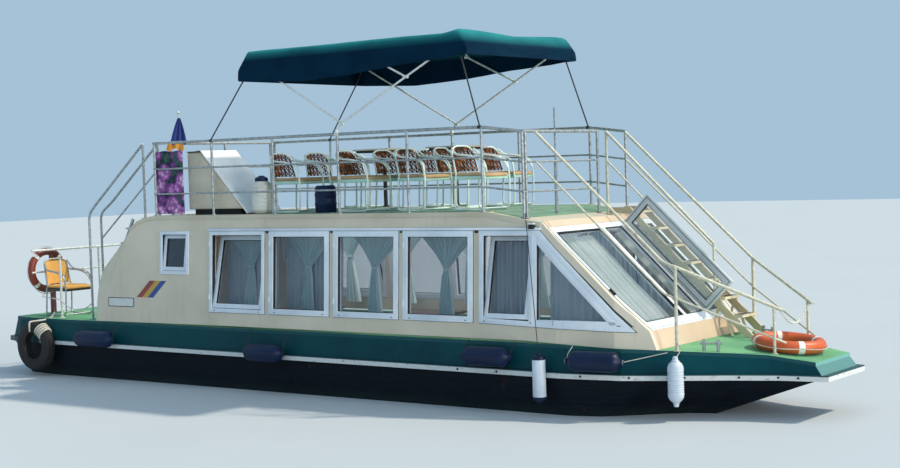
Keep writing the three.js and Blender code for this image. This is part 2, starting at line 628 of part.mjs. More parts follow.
const helm = { aft: -2537, topFore: -2290, footFore: -1456, near: -1110, far: -430, top: 3513 };
const helmFoot = roofTop + gap;
const consoleOutline = [
  [helm.aft, helmFoot], [helm.footFore, helmFoot], [helm.topFore, helm.top], [helm.aft, helm.top]];
piece('helm_console', sidePlate(consoleOutline, helm.near, helm.far), 'beige');
const faceSlope = new THREE.Vector2(helm.footFore - helm.topFore, helmFoot - helm.top).normalize();
const faceOut = new THREE.Vector2(-faceSlope.y, faceSlope.x);
const onFace = (down, out) => [
  helm.topFore + faceSlope.x * down + faceOut.x * out, helm.top + faceSlope.y * down + faceOut.y * out];
const faceLength = Math.hypot(helm.footFore - helm.topFore, helmFoot - helm.top);
piece('helm_screen', sidePlate(
  [onFace(4, 1), onFace(faceLength - 16, 1), onFace(faceLength - 24, 14), onFace(4, 14)],
  helm.near + 4, helm.far - 4), 'plasticWhite');
const wheel = { x: helm.aft - 120, y: -770, z: 3330, radius: 190 };
const helmWheel = ringTorus([wheel.x, wheel.y, wheel.z], wheel.radius, 14, [0, Math.PI / 2, 0], 6, 20)
  .add(rod([wheel.x - 25, wheel.y, wheel.z], [helm.aft - gap * 20, wheel.y, wheel.z], 24))
  .add(join([0, 120, 240].map((turn) => {
    const angle = THREE.MathUtils.degToRad(turn);
    return rod([wheel.x, wheel.y, wheel.z],
      [wheel.x, wheel.y + wheel.radius * Math.sin(angle), wheel.z + wheel.radius * Math.cos(angle)], 10, 6);
  })));
piece('helm_wheel', helmWheel, 'wood');

// Banner panel hung inside the roof rail
piece('rail_banner', block([-3110, -2545], [-1181, -1176], [roofTop + 12, 3531]), 'panelDark');

// Flag staff with its small flag
const staff = { x: -3040, y: -760, top: 4070 };
const flagStaff = upright(staff.x, staff.y, roofTop + 2, staff.top, 10)
  .add(ball([staff.x, staff.y, staff.top], 26))
  .add(block([staff.x - 130, staff.x], [staff.y - 4, staff.y + 4], [staff.top - 385, staff.top - 90]));
piece('flag_staff', flagStaff, 'fenderBlue');

// Canopy

// Roof of the canopy: x, top at the middle, hem at the sides
const canopyLine = [[-1441, 4600, 4395], [-1291, 4785, 4383], [-375, 4795, 4335], [450, 4800, 4372],
  [1234, 4805, 4443], [1833, 4815, 4475], [2101, 4820, 4500], [2215, 4660, 4502]];
const clothThick = 12;
// Half of the canopy's section: share of the half width, drop below the top
const canopyArch = [[1, 100], [0.98, 30], [0.94, 8], [0.6, 2], [0, 0]];
function canopySection([x, top, hem], inset) {
  const half = canopyHalf - inset;
  const arch = canopyArch.map(([share, drop]) => [share * half, top - inset - drop]);
  const left = [[half, hem], ...arch];
  const right = [...arch.slice(0, -1).reverse(), [canopyArch[0][0] * half, hem]].map(([y, z]) => [-y, z]);
  return [...left, ...right].map(([y, z]) => [x, y, z]);
}
// A closed shell between an outer and an inner run of sections
function canopyShell() {
  const outer = canopyLine.map((row) => canopySection(row, 0));
  const inner = canopyLine.map((row) => canopySection(row, clothThick));
  const count = outer[0].length;
  const points = [...outer, ...inner].flat(2);
  const at = (set, row, i) => (set * canopyLine.length + row) * count + i;
  const faces = [];
  const quad = (a, b, c, d) => faces.push(a, b, c, a, c, d);
  const last = canopyLine.length - 1;
  for (let i = 0; i < count - 1; i++) {
    for (let row = 0; row < last; row++) {
      quad(at(0, row, i), at(0, row + 1, i), at(0, row + 1, i + 1), at(0, row, i + 1));
      quad(at(1, row, i), at(1, row, i + 1), at(1, row + 1, i + 1), at(1, row + 1, i));
    }
    quad(at(0, 0, i), at(0, 0, i + 1), at(1, 0, i + 1), at(1, 0, i));
    quad(at(0, last, i), at(1, last, i), at(1, last, i + 1), at(0, last, i + 1));
  }
  for (let row = 0; row < last; row++) {
    quad(at(0, row, 0), at(1, row, 0), at(1, row + 1, 0), at(0, row + 1, 0));
    quad(at(0, row, count - 1), at(0, row + 1, count - 1), at(1, row + 1, count - 1), at(1, row, count - 1));
  }
  const geometry = new THREE.BufferGeometry();
  geometry.setAttribute('position', new THREE.Float32BufferAttribute(points, 3));
  geometry.setIndex(faces);
  return solid(geometry);
}
const canopyEnds = [0, canopyLine.length - 1].map((row) => {
  const [x, top, hem] = canopyLine[row];
  const inward = row === 0 ? x + clothThick : x - clothThick;
  const arch = canopySection([x, top, hem], 2).map(([, y, z]) => [y, z]);
  const hemInner = canopyHalf - 2;
  return endPlate(arch, Math.min(x, inward), Math.max(x, inward))
    .intersect(block([x - 50, x + 50], [-hemInner, hemInner], [hem, top]));
});
piece('canopy_top', join([canopyShell(), ...canopyEnds]), 'canopyGreen');

// Canopy frame: hoops under the cloth, struts down to clamps on the roof rail, and webbing straps
const clamp = { x: postXs[3], z: 3678 };
const strutFoot = { x: 290, z: 3775 };
const hoopHalf = canopyHalf - 60;
// Hoops from aft: x, height at the middle
const hoops = { aft: [-1262, 4752], middle: [540, 4770], fore: [2040, 4786] };
const tubeRadius = 13;
function hoop([x, z]) {
  return bars([[x, -hoopHalf, z - 90], [x, -hoopHalf + 90, z - 14], [x, 0, z],
    [x, hoopHalf - 90, z - 14], [x, hoopHalf, z - 90]], tubeRadius);
}
function struts(side) {
  const base = [clamp.x, side * railHalf, clamp.z];
  const foot = [strutFoot.x, side * railHalf, strutFoot.z];
  const head = ([x, z]) => [x, side * hoopHalf, z - 90];
  const partWay = (to, share) => foot.map((value, i) => value + (to[i] - value) * share);
  const aft = head(hoops.aft);
  const fore = head(hoops.fore);
  const hem = [canopyLine[0][0] + 45, side * (canopyHalf - 60), canopyLine[0][2] + 20];
  const strap = (from, to) => rod(from, to, 5, 6);
  return join([
    rod(foot, aft, tubeRadius), rod(foot, fore, tubeRadius), rod(base, foot, tubeRadius + 2),
    rod(partWay(fore, 0.57), head(hoops.middle), tubeRadius),
    block([clamp.x - 26, clamp.x + 26], [base[1] - 20, base[1] + 20], [railTop + railRadius + 2, base[2] + 12]),
    strap(fore, [lastPostX - 20, side * railHalf, railTop + 24]),
    strap(aft, hem), strap(hem, [postXs[1], side * railHalf, railTop + 24]),
  ]);
}
piece('canopy_frame', join([...Object.values(hoops).map(hoop), struts(-1), struts(1)]), 'steel');

// Seats on the roof: a carpet with wicker armchairs standing on it

const carpet = { x0: -1160, x1: 2440, half: 1130, thick: 6 };
const seatHeight = 440;
function chairAt(x, y, z, backTop) {
  const legs = [[-210, -240], [-210, 240], [230, -240], [230, 240]].map(([a, b]) => rod(
    [a, b, 0], [a * 0.92, b * 0.96, seatHeight], 12, 4));
  const arms = [-250, 250].map((b) => bars([[-250, b, 640], [60, b, 640], [225, b * 0.96, 440]], 12, 4));
  const seat = block([-230, 240], [-235, 235], [seatHeight - 25, seatHeight + 10]);
  const back = sidePlate([[-225, 430], [-195, 430], [-265, backTop], [-300, backTop]], -250, 250);
  return join([...legs, ...arms, seat, back]).translate([x, y, z]);
}
// Chairs: x, y
const chairPlaces = [[-850, -790], [-820, -160], [270, -790], [360, -160], [1220, -790], [1330, -160], [2080, -790],
  [-900, 700], [400, 700], [1450, 700]];
const carpetTop = roofTop + carpet.thick;
const carpetSlab = block([carpet.x0, carpet.x1], [-carpet.half, carpet.half], [roofTop + gap, carpetTop + gap]);
const chairRise = { roof: 790, stern: 850 };

// Tables between the seats: centre x, centre y, half width
const tablePlaces = [[-260, 300, 300], [860, 380, 280]];
const tableTop = { z: 3465, thick: 28 };
const tableBase = { half: 190, thick: 12, post: 26 };
const square = (x, y, half, z0, z1) => block([x - half, x + half], [y - half, y + half], [z0, z1]);
const roofTables = tablePlaces.map(([x, y, half]) => join([
  square(x, y, half, tableTop.z - tableTop.thick, tableTop.z),
  upright(x, y, carpetTop - 2, tableTop.z - 2, tableBase.post),
  square(x, y, tableBase.half, carpetTop - 2, carpetTop + tableBase.thick),
]));

// A drum between the seats
const drum = { x: -250, y: -930, radius: 142, taper: 130, top: 350 };
const roofDrum = turned([[0, 0], [drum.taper, 0], [drum.radius, 30], [drum.radius, drum.top - 30],
  [drum.taper, drum.top], [0, drum.top]], [drum.x, drum.y, carpetTop - 2], [0, 0, 1], 16);
const roofChairs = chairPlaces.map(([x, y]) => chairAt(x, y, carpetTop - 4, chairRise.roof));
piece('roof_seats', join([carpetSlab, ...roofChairs, ...roofTables, roofDrum]), 'wicker');

// A ribbed white fender stowed on the roof ahead of the helm
const stowed = { x: -1300, y: -985, radius: 124, foot: 87, neck: 68, cap: 50, top: 452 };
piece('roof_fender', turned([[0, 0], [stowed.foot, 0], [stowed.radius, 40], [stowed.radius, stowed.top - 90],
  [stowed.neck, stowed.top - 20], [stowed.cap, stowed.top], [0, stowed.top]],
  [stowed.x, stowed.y, roofTop + gap], [0, 0, 1], 16), 'fenderWhite');

// Stern chair, on the deck and facing forward
const sternChair = { x: -5370, y: -820 };
const chairLift = deckTop(sternChair.x) + 3;
piece('stern_chair', chairAt(sternChair.x, sternChair.y, chairLift, chairRise.stern), 'yellow');

// Square mooring post at the stern
const sternPost = { x: -6062, y: -590, half: 30, top: 2100 };
piece('stern_post', block([sternPost.x - sternPost.half, sternPost.x + sternPost.half],
  [sternPost.y - sternPost.half, sternPost.y + sternPost.half], [deckTop(sternPost.x) + 2, sternPost.top]), 'maroon');

// Life rings

const ringRadius = 335;
const ringTube = 70;
const ringSlope = (deckTop(5260) - deckTop(5980)) / 720;
piece('life_ring_bow', ringTorus([5600, 0, deckTop(5635) + ringTube + 6], ringRadius, ringTube, [0, ringSlope, 0]),
  'orange');
const hungRing = { x: sternRail.x - ringTube - railRadius - 3, y: -800, z: 1850, radius: 280, tube: 55 };
piece('life_ring_stern', ringTorus([hungRing.x, hungRing.y, hungRing.z], hungRing.radius, hungRing.tube,
  [0, Math.PI / 2, 0]), 'orange');

// Fenders

// Where the rub rail's outer edge is at x, and the fender's lean with it in plan
const rubEdge = (x) => along(rubPlan, x);
const rubTurn = (x) => Math.atan2(rubEdge(x - 100) - rubEdge(x + 100), 200);
// Fenders on the starboard side: name, x, z, length, radius
const longFenders = [['a', -4116, 961, 792, 112], ['b', -873, 909, 677, 112], ['c', 2551, 1018, 692, 112],
  ['d', 3946, 1018, 687, 112]];
function fenderShape(length, radius) {
  const half = length / 2;
  return [[0, -half], [radius * 0.3, -half], [radius * 0.45, -half + 40], [radius, -half + 110], [radius, half - 110],
    [radius * 0.45, half - 40], [radius * 0.3, half], [0, half]];
}
for (const [name, x, z, length, radius] of longFenders) {
  const rise = z - rubTop(x) - rubHeight / 2;
  const out = rise > radius ? radius - 62 : Math.sqrt(radius * radius - Math.max(rise, 0) ** 2);
  const turn = rubTurn(x);
  piece(`fender_${name}`, turned(fenderShape(length, radius), [x, -(rubEdge(x) + out / Math.cos(turn) + 4), z],
    [Math.cos(turn), Math.sin(turn), 0], 12), 'fenderBlue');
}
// Hanging fenders: name, x, foot z, top z, radius, finish
const hangingFenders = [['e', 3282, 544, 1083, 75, 'fenderWhite'], ['f', 4800, 545, 1080, 88, 'fenderWhite']];
for (const [name, x, foot, top, radius, finish] of hangingFenders) {
  const turn = rubTurn(x);
  const shape = fenderShape(top - foot, radius);
  piece(`fender_${name}`, turned(shape,
    [x, -(rubEdge(x) + (radius + 4) / Math.cos(turn)), (foot + top) / 2], [0, 0, 1], 12), finish);
}
const tyre = { x: -5378, z: 813, radius: 345, bore: 190, half: 80 };
const tyreProfile = [[tyre.bore, -60], [tyre.radius - 30, -tyre.half], [tyre.radius, -50], [tyre.radius, 50],
  [tyre.radius - 30, tyre.half], [tyre.bore, 60], [tyre.bore, -60]];
piece('tyre_fender', turned(tyreProfile, [tyre.x, -(halfBeam + tyre.half + 4), tyre.z], [0, 1, 0], 24), 'rubber');

// Inside the saloon

// Curtains: first x, last x
const curtainRows = [[-1990, -1100], [-930, 20], [160, 1120], [1260, 2220]];
const curtainFoot = 1300;
const curtainRail = { in: 160, bracket: 153 };
function curtainSet(side) {
  const rodY = (wallOuter(0, headZ) - wallThick - curtainRail.in) * side;
  const rail = rod([-2050, rodY, headZ - 20], [3080, rodY, headZ - 20], 10, 6);
  const brackets = [-2040, 600, 3060].map((x) => block([x - 12, x + 12],
    side < 0 ? [rodY - curtainRail.bracket, rodY] : [rodY, rodY + curtainRail.bracket], [headZ - 28, headZ - 12]));
  const drops = curtainRows.map(([x0, x1]) => {
    const middle = (x0 + x1) / 2;
    const waist = (curtainFoot + headZ) / 2 - 60;
    return sidePlate([[x0, headZ - 30], [middle - 60, waist], [middle - 200, curtainFoot],
      [middle + 200, curtainFoot], [middle + 60, waist], [x1, headZ - 30], [x1, headZ - 12], [x0, headZ - 12]],
    rodY - 8, rodY + 8);
  });
  return join([rail, ...brackets, ...drops]);
}
piece('curtains_starboard', curtainSet(-1), 'curtainMint');
piece('curtains_port', curtainSet(1), 'curtainMint');

// Saloon floor with its benches and tables
const benchHalf = 1120;
const floorThick = 12;
const floorTop = wellFloor + floorThick;
const floorPlan = wellPlan.map(([x, half]) => [x + (x > 4400 ? -20 : x < -4000 ? 20 : 0), half - 12]);
const floorBoard = levels([wellFloor + gap, floorTop].map((z) => floorPlan.map(([x, half]) => [x, half, z])));
const bench = { deep: 420, high: 440 };
const benches = [-1, 1].map((side) => block([-3200, 3300],
  side < 0 ? [-benchHalf, -benchHalf + bench.deep] : [benchHalf - bench.deep, benchHalf],
  [floorTop - 1, floorTop + bench.high]));
const saloonTables = [-1500, 600].map((x) => join([
  block([x - 40, x + 40], [-40, 40], [floorTop - 1, floorTop + 700]),
  block([x - 450, x + 450], [-300, 300], [floorTop + 699, floorTop + 730]),
]));
piece('saloon_furniture', join([floorBoard, ...benches, ...saloonTables]), 'wood');

// Engine, shaft and steering gear under the stern

piece('engine_block', block([-5400, -4600], [-350, 350], [260, 950]), 'engineGrey');
const screw = { x: -5975, radius: 145, shaftStart: -5402 };
const blades = Array.from({ length: 3 }, (_, i) => block([-20, 20], [-62, 62], [26, screw.radius])
  .rotate([0, 0, 28]).rotate([i * 120, 0, 0]));
const propeller = join([...blades, rod([-50, 0, 0], [50, 0, 0], 36, 10)])
  .translate([screw.x, 0, shaftZ])
  .add(rod([screw.x, 0, shaftZ], [screw.shaftStart - gap, 0, shaftZ], 17, 10));
piece('propeller', propeller, 'bronze');
const rudderBlade = sidePlate([[-6240, 70], [-6060, 60], [-6050, 390], [-6200, 410]], -9, 9);
piece('rudder', rudderBlade.add(upright(stock.x, 0, 200, stock.top, stock.radius)), 'hullBlack');

export default group;
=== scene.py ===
import math
import bpy
from mathutils import Matrix, Vector


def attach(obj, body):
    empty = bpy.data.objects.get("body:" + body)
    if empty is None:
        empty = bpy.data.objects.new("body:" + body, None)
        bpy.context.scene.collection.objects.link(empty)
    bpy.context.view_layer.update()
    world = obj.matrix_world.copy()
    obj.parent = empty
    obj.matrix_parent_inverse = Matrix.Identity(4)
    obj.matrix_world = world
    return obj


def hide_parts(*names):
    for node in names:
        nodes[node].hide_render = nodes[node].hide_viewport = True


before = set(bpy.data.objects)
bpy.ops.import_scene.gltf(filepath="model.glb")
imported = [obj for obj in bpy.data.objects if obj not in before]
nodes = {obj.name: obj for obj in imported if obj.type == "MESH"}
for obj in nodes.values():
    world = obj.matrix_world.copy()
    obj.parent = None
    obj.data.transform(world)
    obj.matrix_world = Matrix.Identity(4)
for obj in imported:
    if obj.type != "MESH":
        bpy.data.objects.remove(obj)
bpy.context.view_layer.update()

print("houseboat: frame loaded")

# sizes shared by several pieces, in metres
boat = {
    "water": 0.38,
    "roofTop": 2.661,
    "railTop": 3.6425,
    "railHalf": 1.2,
    "firstPost": -3.07,
    "postPitch": 1.092,
    "thick": 0.0185,         # radius of a top rail
    "thin": 0.012,           # radius of a lower rail
    "post": 0.017,
    "wallLean": 0.059,       # the side walls lean in by this share of the height
    "wallFoot": 1.19,
    "aftLean": 0.5537,       # the aft wall leans forward by this share of the height
}
wallPlan = [(-4.4, 1.302), (3.4, 1.302), (4.1, 1.222), (4.435, 1.09), (4.56, 1.035)]
rubPlan = [(-6.264, 1.235), (-6.215, 1.29), (-6.05, 1.34), (-5.213, 1.41), (3.549, 1.41),
           (4.216, 1.305), (4.73, 1.067), (5.263, 0.8), (5.739, 0.6), (6.264, 0.5)]
rubLine = [(-6.264, 0.874), (0, 0.849), (6.264, 0.838)]
deckLine = [(-6.2, 1.19), (-4.25, 1.19), (-2.0, 1.205), (3.0, 1.2), (4.6, 1.126), (5.635, 1.068),
            (6.103, 1.002)]
roofLine = [(-3.57, 2.494), (-3.44, 2.59), (-3.269, 2.64), (-3.05, 2.661), (2.45, 2.661), (3.19, 2.535)]
railDrops = [(0, boat["thick"]), (0.35, boat["thin"]), (0.69, boat["thin"])]
postPlaces = [boat["firstPost"] + i * boat["postPitch"] for i in range(6)]


def along(table, x):   # reads a table of x, value with straight lines between its rows
    if x <= table[0][0]:
        return table[0][1]
    for (x0, v0), (x1, v1) in zip(table, table[1:]):
        if x <= x1:
            return v0 + (v1 - v0) * (x - x0) / (x1 - x0)
    return table[-1][1]


def wallHalf(x, z):
    return along(wallPlan, x) - (z - boat["wallFoot"]) * boat["wallLean"]


# camera, at the photograph's place
view = {"place": (12.802, -15.923, 3.172), "yaw": 36.525, "pitch": -2.396, "roll": 1.826, "lens": 62.35}


def addCamera():
    yaw, pitch, roll = [math.radians(view[key]) for key in ("yaw", "pitch", "roll")]
    ahead = Vector((-math.sin(yaw) * math.cos(pitch), math.cos(yaw) * math.cos(pitch), math.sin(pitch)))
    right = Vector((math.cos(yaw), math.sin(yaw), 0))
    up = right.cross(ahead)
    right, up = right * math.cos(roll) - up * math.sin(roll), up * math.cos(roll) + right * math.sin(roll)
    lens = bpy.data.cameras.new("camera")
    lens.lens = view["lens"]
    lens.sensor_fit = "HORIZONTAL"
    lens.sensor_width = 36
    lens.clip_end = 300
    camera = bpy.data.objects.new("camera", lens)
    bpy.context.scene.collection.objects.link(camera)
    turn = Matrix((right, up, -ahead)).transposed()
    camera.matrix_world = Matrix.Translation(view["place"]) @ turn.to_4x4()
    bpy.context.scene.camera = camera


addCamera()


# handling pieces

def deselectAll():
    if bpy.context.mode != "OBJECT":
        bpy.ops.object.mode_set(mode="OBJECT")
    bpy.ops.object.select_all(action="DESELECT")


def pick(piece):
    deselectAll()
    piece.select_set(True)
    bpy.context.view_layer.objects.active = piece
    return piece


def edit(piece, kind="FACE"):
    pick(piece)
    bpy.ops.object.mode_set(mode="EDIT")
    bpy.ops.mesh.select_mode(type=kind)
    bpy.ops.mesh.select_all(action="SELECT")


def done():
    bpy.ops.object.mode_set(mode="OBJECT")


def settle(piece):
    pick(piece)
    bpy.ops.object.transform_apply(location=True, rotation=True, scale=True)
    return piece


def joinAs(name, parts):
    pick(parts[0])
    for part in parts[1:]:
        part.select_set(True)
    if len(parts) > 1:
        bpy.ops.object.join()
    whole = bpy.context.view_layer.objects.active
    whole.name = name
    whole.data.name = name
    return whole


def copyOf(piece, shift=(0, 0, 0), turn=0.0):   # a twin with its own mesh, turned about z and shifted
    twin = piece.copy()
    twin.data = piece.data.copy()
    bpy.context.collection.objects.link(twin)
    twin.data.transform(Matrix.Translation(shift) @ Matrix.Rotation(turn, 4, "Z"))
    return twin


def finishWith(piece, kind, **settings):   # adds one modifier and applies it
    pick(piece)
    step = piece.modifiers.new(kind.lower(), kind)
    for key, value in settings.items():
        setattr(step, key, value)
    bpy.ops.object.modifier_apply(modifier=step.name)
    return piece


def smooth(piece, angle=40):
    pick(piece)
    bpy.ops.object.shade_smooth_by_angle(angle=math.radians(angle))
    return piece


def recalc(piece, merge=0.0002):
    edit(piece)
    bpy.ops.mesh.remove_doubles(threshold=merge)
    bpy.ops.mesh.normals_make_consistent(inside=False)
    done()
    return piece


def place(piece, reshape):   # moves every point of the mesh
    for point in piece.data.vertices:
        point.co = reshape(point.co)
    piece.data.update()
    return piece


def dress(piece, finish, body="root", node=None):
    if finish:
        piece.data.materials.clear()
        piece.data.materials.append(finishes[finish])
    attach(piece, body)
    if node:
        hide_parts(node)
    return piece


def slab(low, high, soften=0.004):   # a board between two corners, its edges eased
    deselectAll()
    bpy.ops.mesh.primitive_cube_add(size=1, location=[(a + b) / 2 for a, b in zip(low, high)])
    piece = bpy.context.object
    piece.scale = [b - a for a, b in zip(low, high)]
    settle(piece)
    edit(piece, "EDGE")
    bpy.ops.mesh.bevel(offset=soften, segments=2, affect="EDGES")
    done()
    return piece


def plateOf(corners):   # a flat face drawn in x and z, seen from outside at -y
    deselectAll()
    bpy.ops.mesh.primitive_circle_add(vertices=len(corners), radius=1, fill_type="NGON")
    piece = bpy.context.object
    for point, (x, z) in zip(piece.data.vertices, corners):
        point.co = (x, 0, z)
    piece.data.update()
    edit(piece)
    bpy.ops.mesh.normals_make_consistent(inside=False)
    done()
    if piece.data.polygons[0].normal.y > 0:
        edit(piece)
        bpy.ops.mesh.flip_normals()
        done()
    return piece


def thicken(piece, proud, deep, soften):   # gives a flat face its body, from proud outside to deep inside
    piece.data.transform(Matrix.Translation((0, -proud, 0)))
    finishWith(piece, "SOLIDIFY", thickness=proud + deep, offset=-1)
    if soften:
        finishWith(piece, "BEVEL", width=soften, segments=2, limit_method="ANGLE")
    return piece


def ringOf(corners, wide, proud, deep, soften=0.003):   # a mitred frame
    piece = plateOf(corners)
    edit(piece)
    bpy.ops.mesh.inset(thickness=wide, use_even_offset=True)
    bpy.ops.mesh.delete(type="FACE")
    done()
    return thicken(piece, proud, deep, soften)


def boardOf(corners, proud, deep, soften=0.003):
    return thicken(plateOf(corners), proud, deep, soften)


def rect(x0, x1, z0, z1, inset=0.0):
    x0, x1, z0, z1 = x0 + inset, x1 - inset, z0 + inset, z1 - inset
    return [(x0, z0), (x1, z0), (x1, z1), (x0, z1)]


def rounded(points, bend, steps=5):   # the same line with an easy bend at each corner
    line = [Vector(points[0])]
    for before, corner, after in zip(points, points[1:], points[2:]):
        at = Vector(corner)
        back, on = Vector(before) - at, Vector(after) - at
        reach = min(bend, back.length * 0.45, on.length * 0.45)
        start, end = at + back.normalized() * reach, at + on.normalized() * reach
        for i in range(steps + 1):
            t = i / steps
            line.append(start * (1 - t) ** 2 + at * (2 * t * (1 - t)) + end * t * t)
    line.append(Vector(points[-1]))
    return line


def tubesOf(name, runs, round=2, closed=False):   # each run: radius, bend, points
    curve = bpy.data.curves.new(name, "CURVE")
    curve.dimensions = "3D"
    curve.bevel_depth = 1.0
    curve.bevel_resolution = round
    curve.use_fill_caps = not closed
    for radius, bend, points in runs:
        line = rounded(points, bend) if bend else [Vector(point) for point in points]
        spline = curve.splines.new("POLY")
        spline.points.add(len(line) - 1)
        spline.use_cyclic_u = closed
        for knot, at in zip(spline.points, line):
            knot.co = (*at, 1)
            knot.radius = radius
    piece = bpy.data.objects.new(name, curve)
    bpy.context.collection.objects.link(piece)
    pick(piece)
    bpy.ops.object.convert(target="MESH")
    piece = bpy.context.view_layer.objects.active
    recalc(piece, 0.00005)
    return smooth(piece, 50)


def standing(x, y, foot, top, radius=0.017, flange=0.042):   # a post with its foot plate and weld
    return [(radius, 0, [(x, y, foot), (x, y, top)]),
            (flange, 0, [(x, y, foot), (x, y, foot + 0.007)]),
            (radius + 0.005, 0, [(x, y, foot + 0.007), (x, y, foot + 0.016)])]


def sleeve(radius, at, reach):   # a short collar along the boat
    return (radius, 0, [at - Vector((reach, 0, 0)), at + Vector((reach, 0, 0))])


def latheOf(name, profile, centre, axis=(0, 0, 1), steps=28):   # profile rows: distance out, height
    shape = bpy.data.meshes.new(name)
    count = len(profile)
    shape.from_pydata([(r, 0, h) for r, h in profile], [(i, i + 1) for i in range(count - 1)], [])
    piece = bpy.data.objects.new(name, shape)
    bpy.context.collection.objects.link(piece)
    edit(piece, "VERT")
    bpy.ops.mesh.spin(steps=steps, angle=2 * math.pi, center=(0, 0, 0), axis=(0, 0, 1))
    done()
    recalc(piece)
    turn = Vector((0, 0, 1)).rotation_difference(Vector(axis)).to_matrix().to_4x4()
    piece.data.transform(Matrix.Translation(centre) @ turn)
    return smooth(piece)


def clothOf(name, across, down, reshape):   # a grid of cloth; reshape takes 0 to 1 across and up
    deselectAll()
    bpy.ops.mesh.primitive_grid_add(x_subdivisions=across, y_subdivisions=down, size=1)
    piece = bpy.context.object
    piece.name = name
    piece.data.name = name
    place(piece, lambda p: Vector(reshape(p.x + 0.5, p.y + 0.5)))
    return piece


def areaOf(piece):
    return sum(face.area for face in piece.data.polygons)


def hem(piece, thick=0.0012):   # gives a cloth its thickness
    area = areaOf(piece)
    finishWith(piece, "SOLIDIFY", thickness=thick, offset=0)
    smooth(piece, 60)
    return piece


def bend(piece, places):   # cuts a piece at x so that it can follow the wall's bends
    for x in places:
        edit(piece)
        bpy.ops.mesh.bisect(plane_co=(x, 0, 0), plane_no=(1, 0, 0))
        done()
    return piece


def layOnWall(piece):
    return place(piece, lambda p: Vector((p.x, p.y - wallHalf(p.x, p.z), p.z)))


def toPort(piece, name):
    twin = copyOf(piece)
    twin.name = name
    twin.data.name = name
    place(twin, lambda p: Vector((p.x, -p.y, p.z)))
    edit(twin)
    bpy.ops.mesh.flip_normals()
    done()
    return twin


# finishes

def tint(code):   # a colour from its six-digit web code
    shares = [int(code[i:i + 2], 16) / 255 for i in (0, 2, 4)]
    return tuple(c / 12.92 if c <= 0.04045 else ((c + 0.055) / 1.055) ** 2.4 for c in shares)


def bare(name, code, roughness, metallic=0.0, shine=0.5):
    finish = bpy.data.materials.new(name)
    finish.use_nodes = True
    tree = finish.node_tree
    shader = tree.nodes["Principled BSDF"]
    shader.inputs["Base Color"].default_value = (*tint(code), 1)
    shader.inputs["Roughness"].default_value = roughness
    shader.inputs["Metallic"].default_value = metallic
    shader.inputs["Specular IOR Level"].default_value = shine
    finish.diffuse_color = (*tint(code), 1)
    return finish, tree, shader


def coords(tree, scale=(1, 1, 1)):
    source = tree.nodes.new("ShaderNodeTexCoord")
    mapping = tree.nodes.new("ShaderNodeMapping")
    mapping.inputs["Scale"].default_value = scale
    tree.links.new(source.outputs["Object"], mapping.inputs["Vector"])
    return mapping.outputs["Vector"]


def noise(tree, vector, scale, detail=4.0, rough=0.6):
    node = tree.nodes.new("ShaderNodeTexNoise")
    node.inputs["Scale"].default_value = scale
    node.inputs["Detail"].default_value = detail
    node.inputs["Roughness"].default_value = rough
    tree.links.new(vector, node.inputs["Vector"])
    return node.outputs["Fac"]


def cells(tree, vector, scale, scatter=1.0):
    node = tree.nodes.new("ShaderNodeTexVoronoi")
    node.inputs["Scale"].default_value = scale
    node.inputs["Randomness"].default_value = scatter
    tree.links.new(vector, node.inputs["Vector"])
    return node.outputs["Distance"]


def ramp(tree, fac, stops):   # stops: place, then a shade from 0 to 1 or a web code
    node = tree.nodes.new("ShaderNodeValToRGB")
    points = node.color_ramp.elements
    while len(points) < len(stops):
        points.new(0.5)
    for point, (at, shade) in zip(points, stops):
        point.position = at
        point.color = (*tint(shade), 1) if isinstance(shade, str) else (shade, shade, shade, 1)
    tree.links.new(fac, node.inputs["Fac"])
    return node.outputs["Color"]


def fade(tree, fac, low, high, top=1.0):   # nothing up to low, then rising to top at high
    return ramp(tree, fac, [(low, 0.0), (high, top)])


def mixed(tree, fac, one, other):   # two colours, each a socket or a web code
    node = tree.nodes.new("ShaderNodeMix")
    node.data_type = "RGBA"
    tree.links.new(fac, node.inputs[0])
    for socket, value in ((node.inputs[6], one), (node.inputs[7], other)):
        if isinstance(value, str):
            socket.default_value = (*tint(value), 1)
        else:
            tree.links.new(value, socket)
    return node.outputs[2]


def sums(tree, kind, one, other):
    node = tree.nodes.new("ShaderNodeMath")
    node.operation = kind
    for socket, value in ((node.inputs[0], one), (node.inputs[1], other)):
        if isinstance(value, (int, float)):
            socket.default_value = value
        else:
            tree.links.new(value, socket)
    return node.outputs[0]


def axisOf(tree, vector, letter):
    node = tree.nodes.new("ShaderNodeSeparateXYZ")
    tree.links.new(vector, node.inputs[0])
    return node.outputs[letter]


def facing(tree, letter):   # how far the surface looks along an axis
    source = tree.nodes.new("ShaderNodeTexCoord")
    return axisOf(tree, source.outputs["Normal"], letter)


def rise(tree, value, at, ease, first, last):   # from first to last as the value passes a place
    node = tree.nodes.new("ShaderNodeMapRange")
    for key, number in (("From Min", at - ease), ("From Max", at + ease), ("To Min", first),
                        ("To Max", last)):
        node.inputs[key].default_value = number
    tree.links.new(value, node.inputs["Value"])
    return node.outputs["Result"]


def band(tree, value, low, high, ease):   # 1 between low and high, eased at both ends
    return sums(tree, "MULTIPLY", rise(tree, value, low, ease, 0, 1), rise(tree, value, high, ease, 1, 0))


def bump(tree, shader, height, strength, distance):
    node = tree.nodes.new("ShaderNodeBump")
    node.inputs["Strength"].default_value = strength
    node.inputs["Distance"].default_value = distance
    tree.links.new(height, node.inputs["Height"])
    tree.links.new(node.outputs["Normal"], shader.inputs["Normal"])


def colourTo(tree, shader, colour):
    tree.links.new(colour, shader.inputs["Base Color"])


def roughTo(tree, shader, fac, low, high):
    tree.links.new(rise(tree, fac, 0.5, 0.5, low, high), shader.inputs["Roughness"])


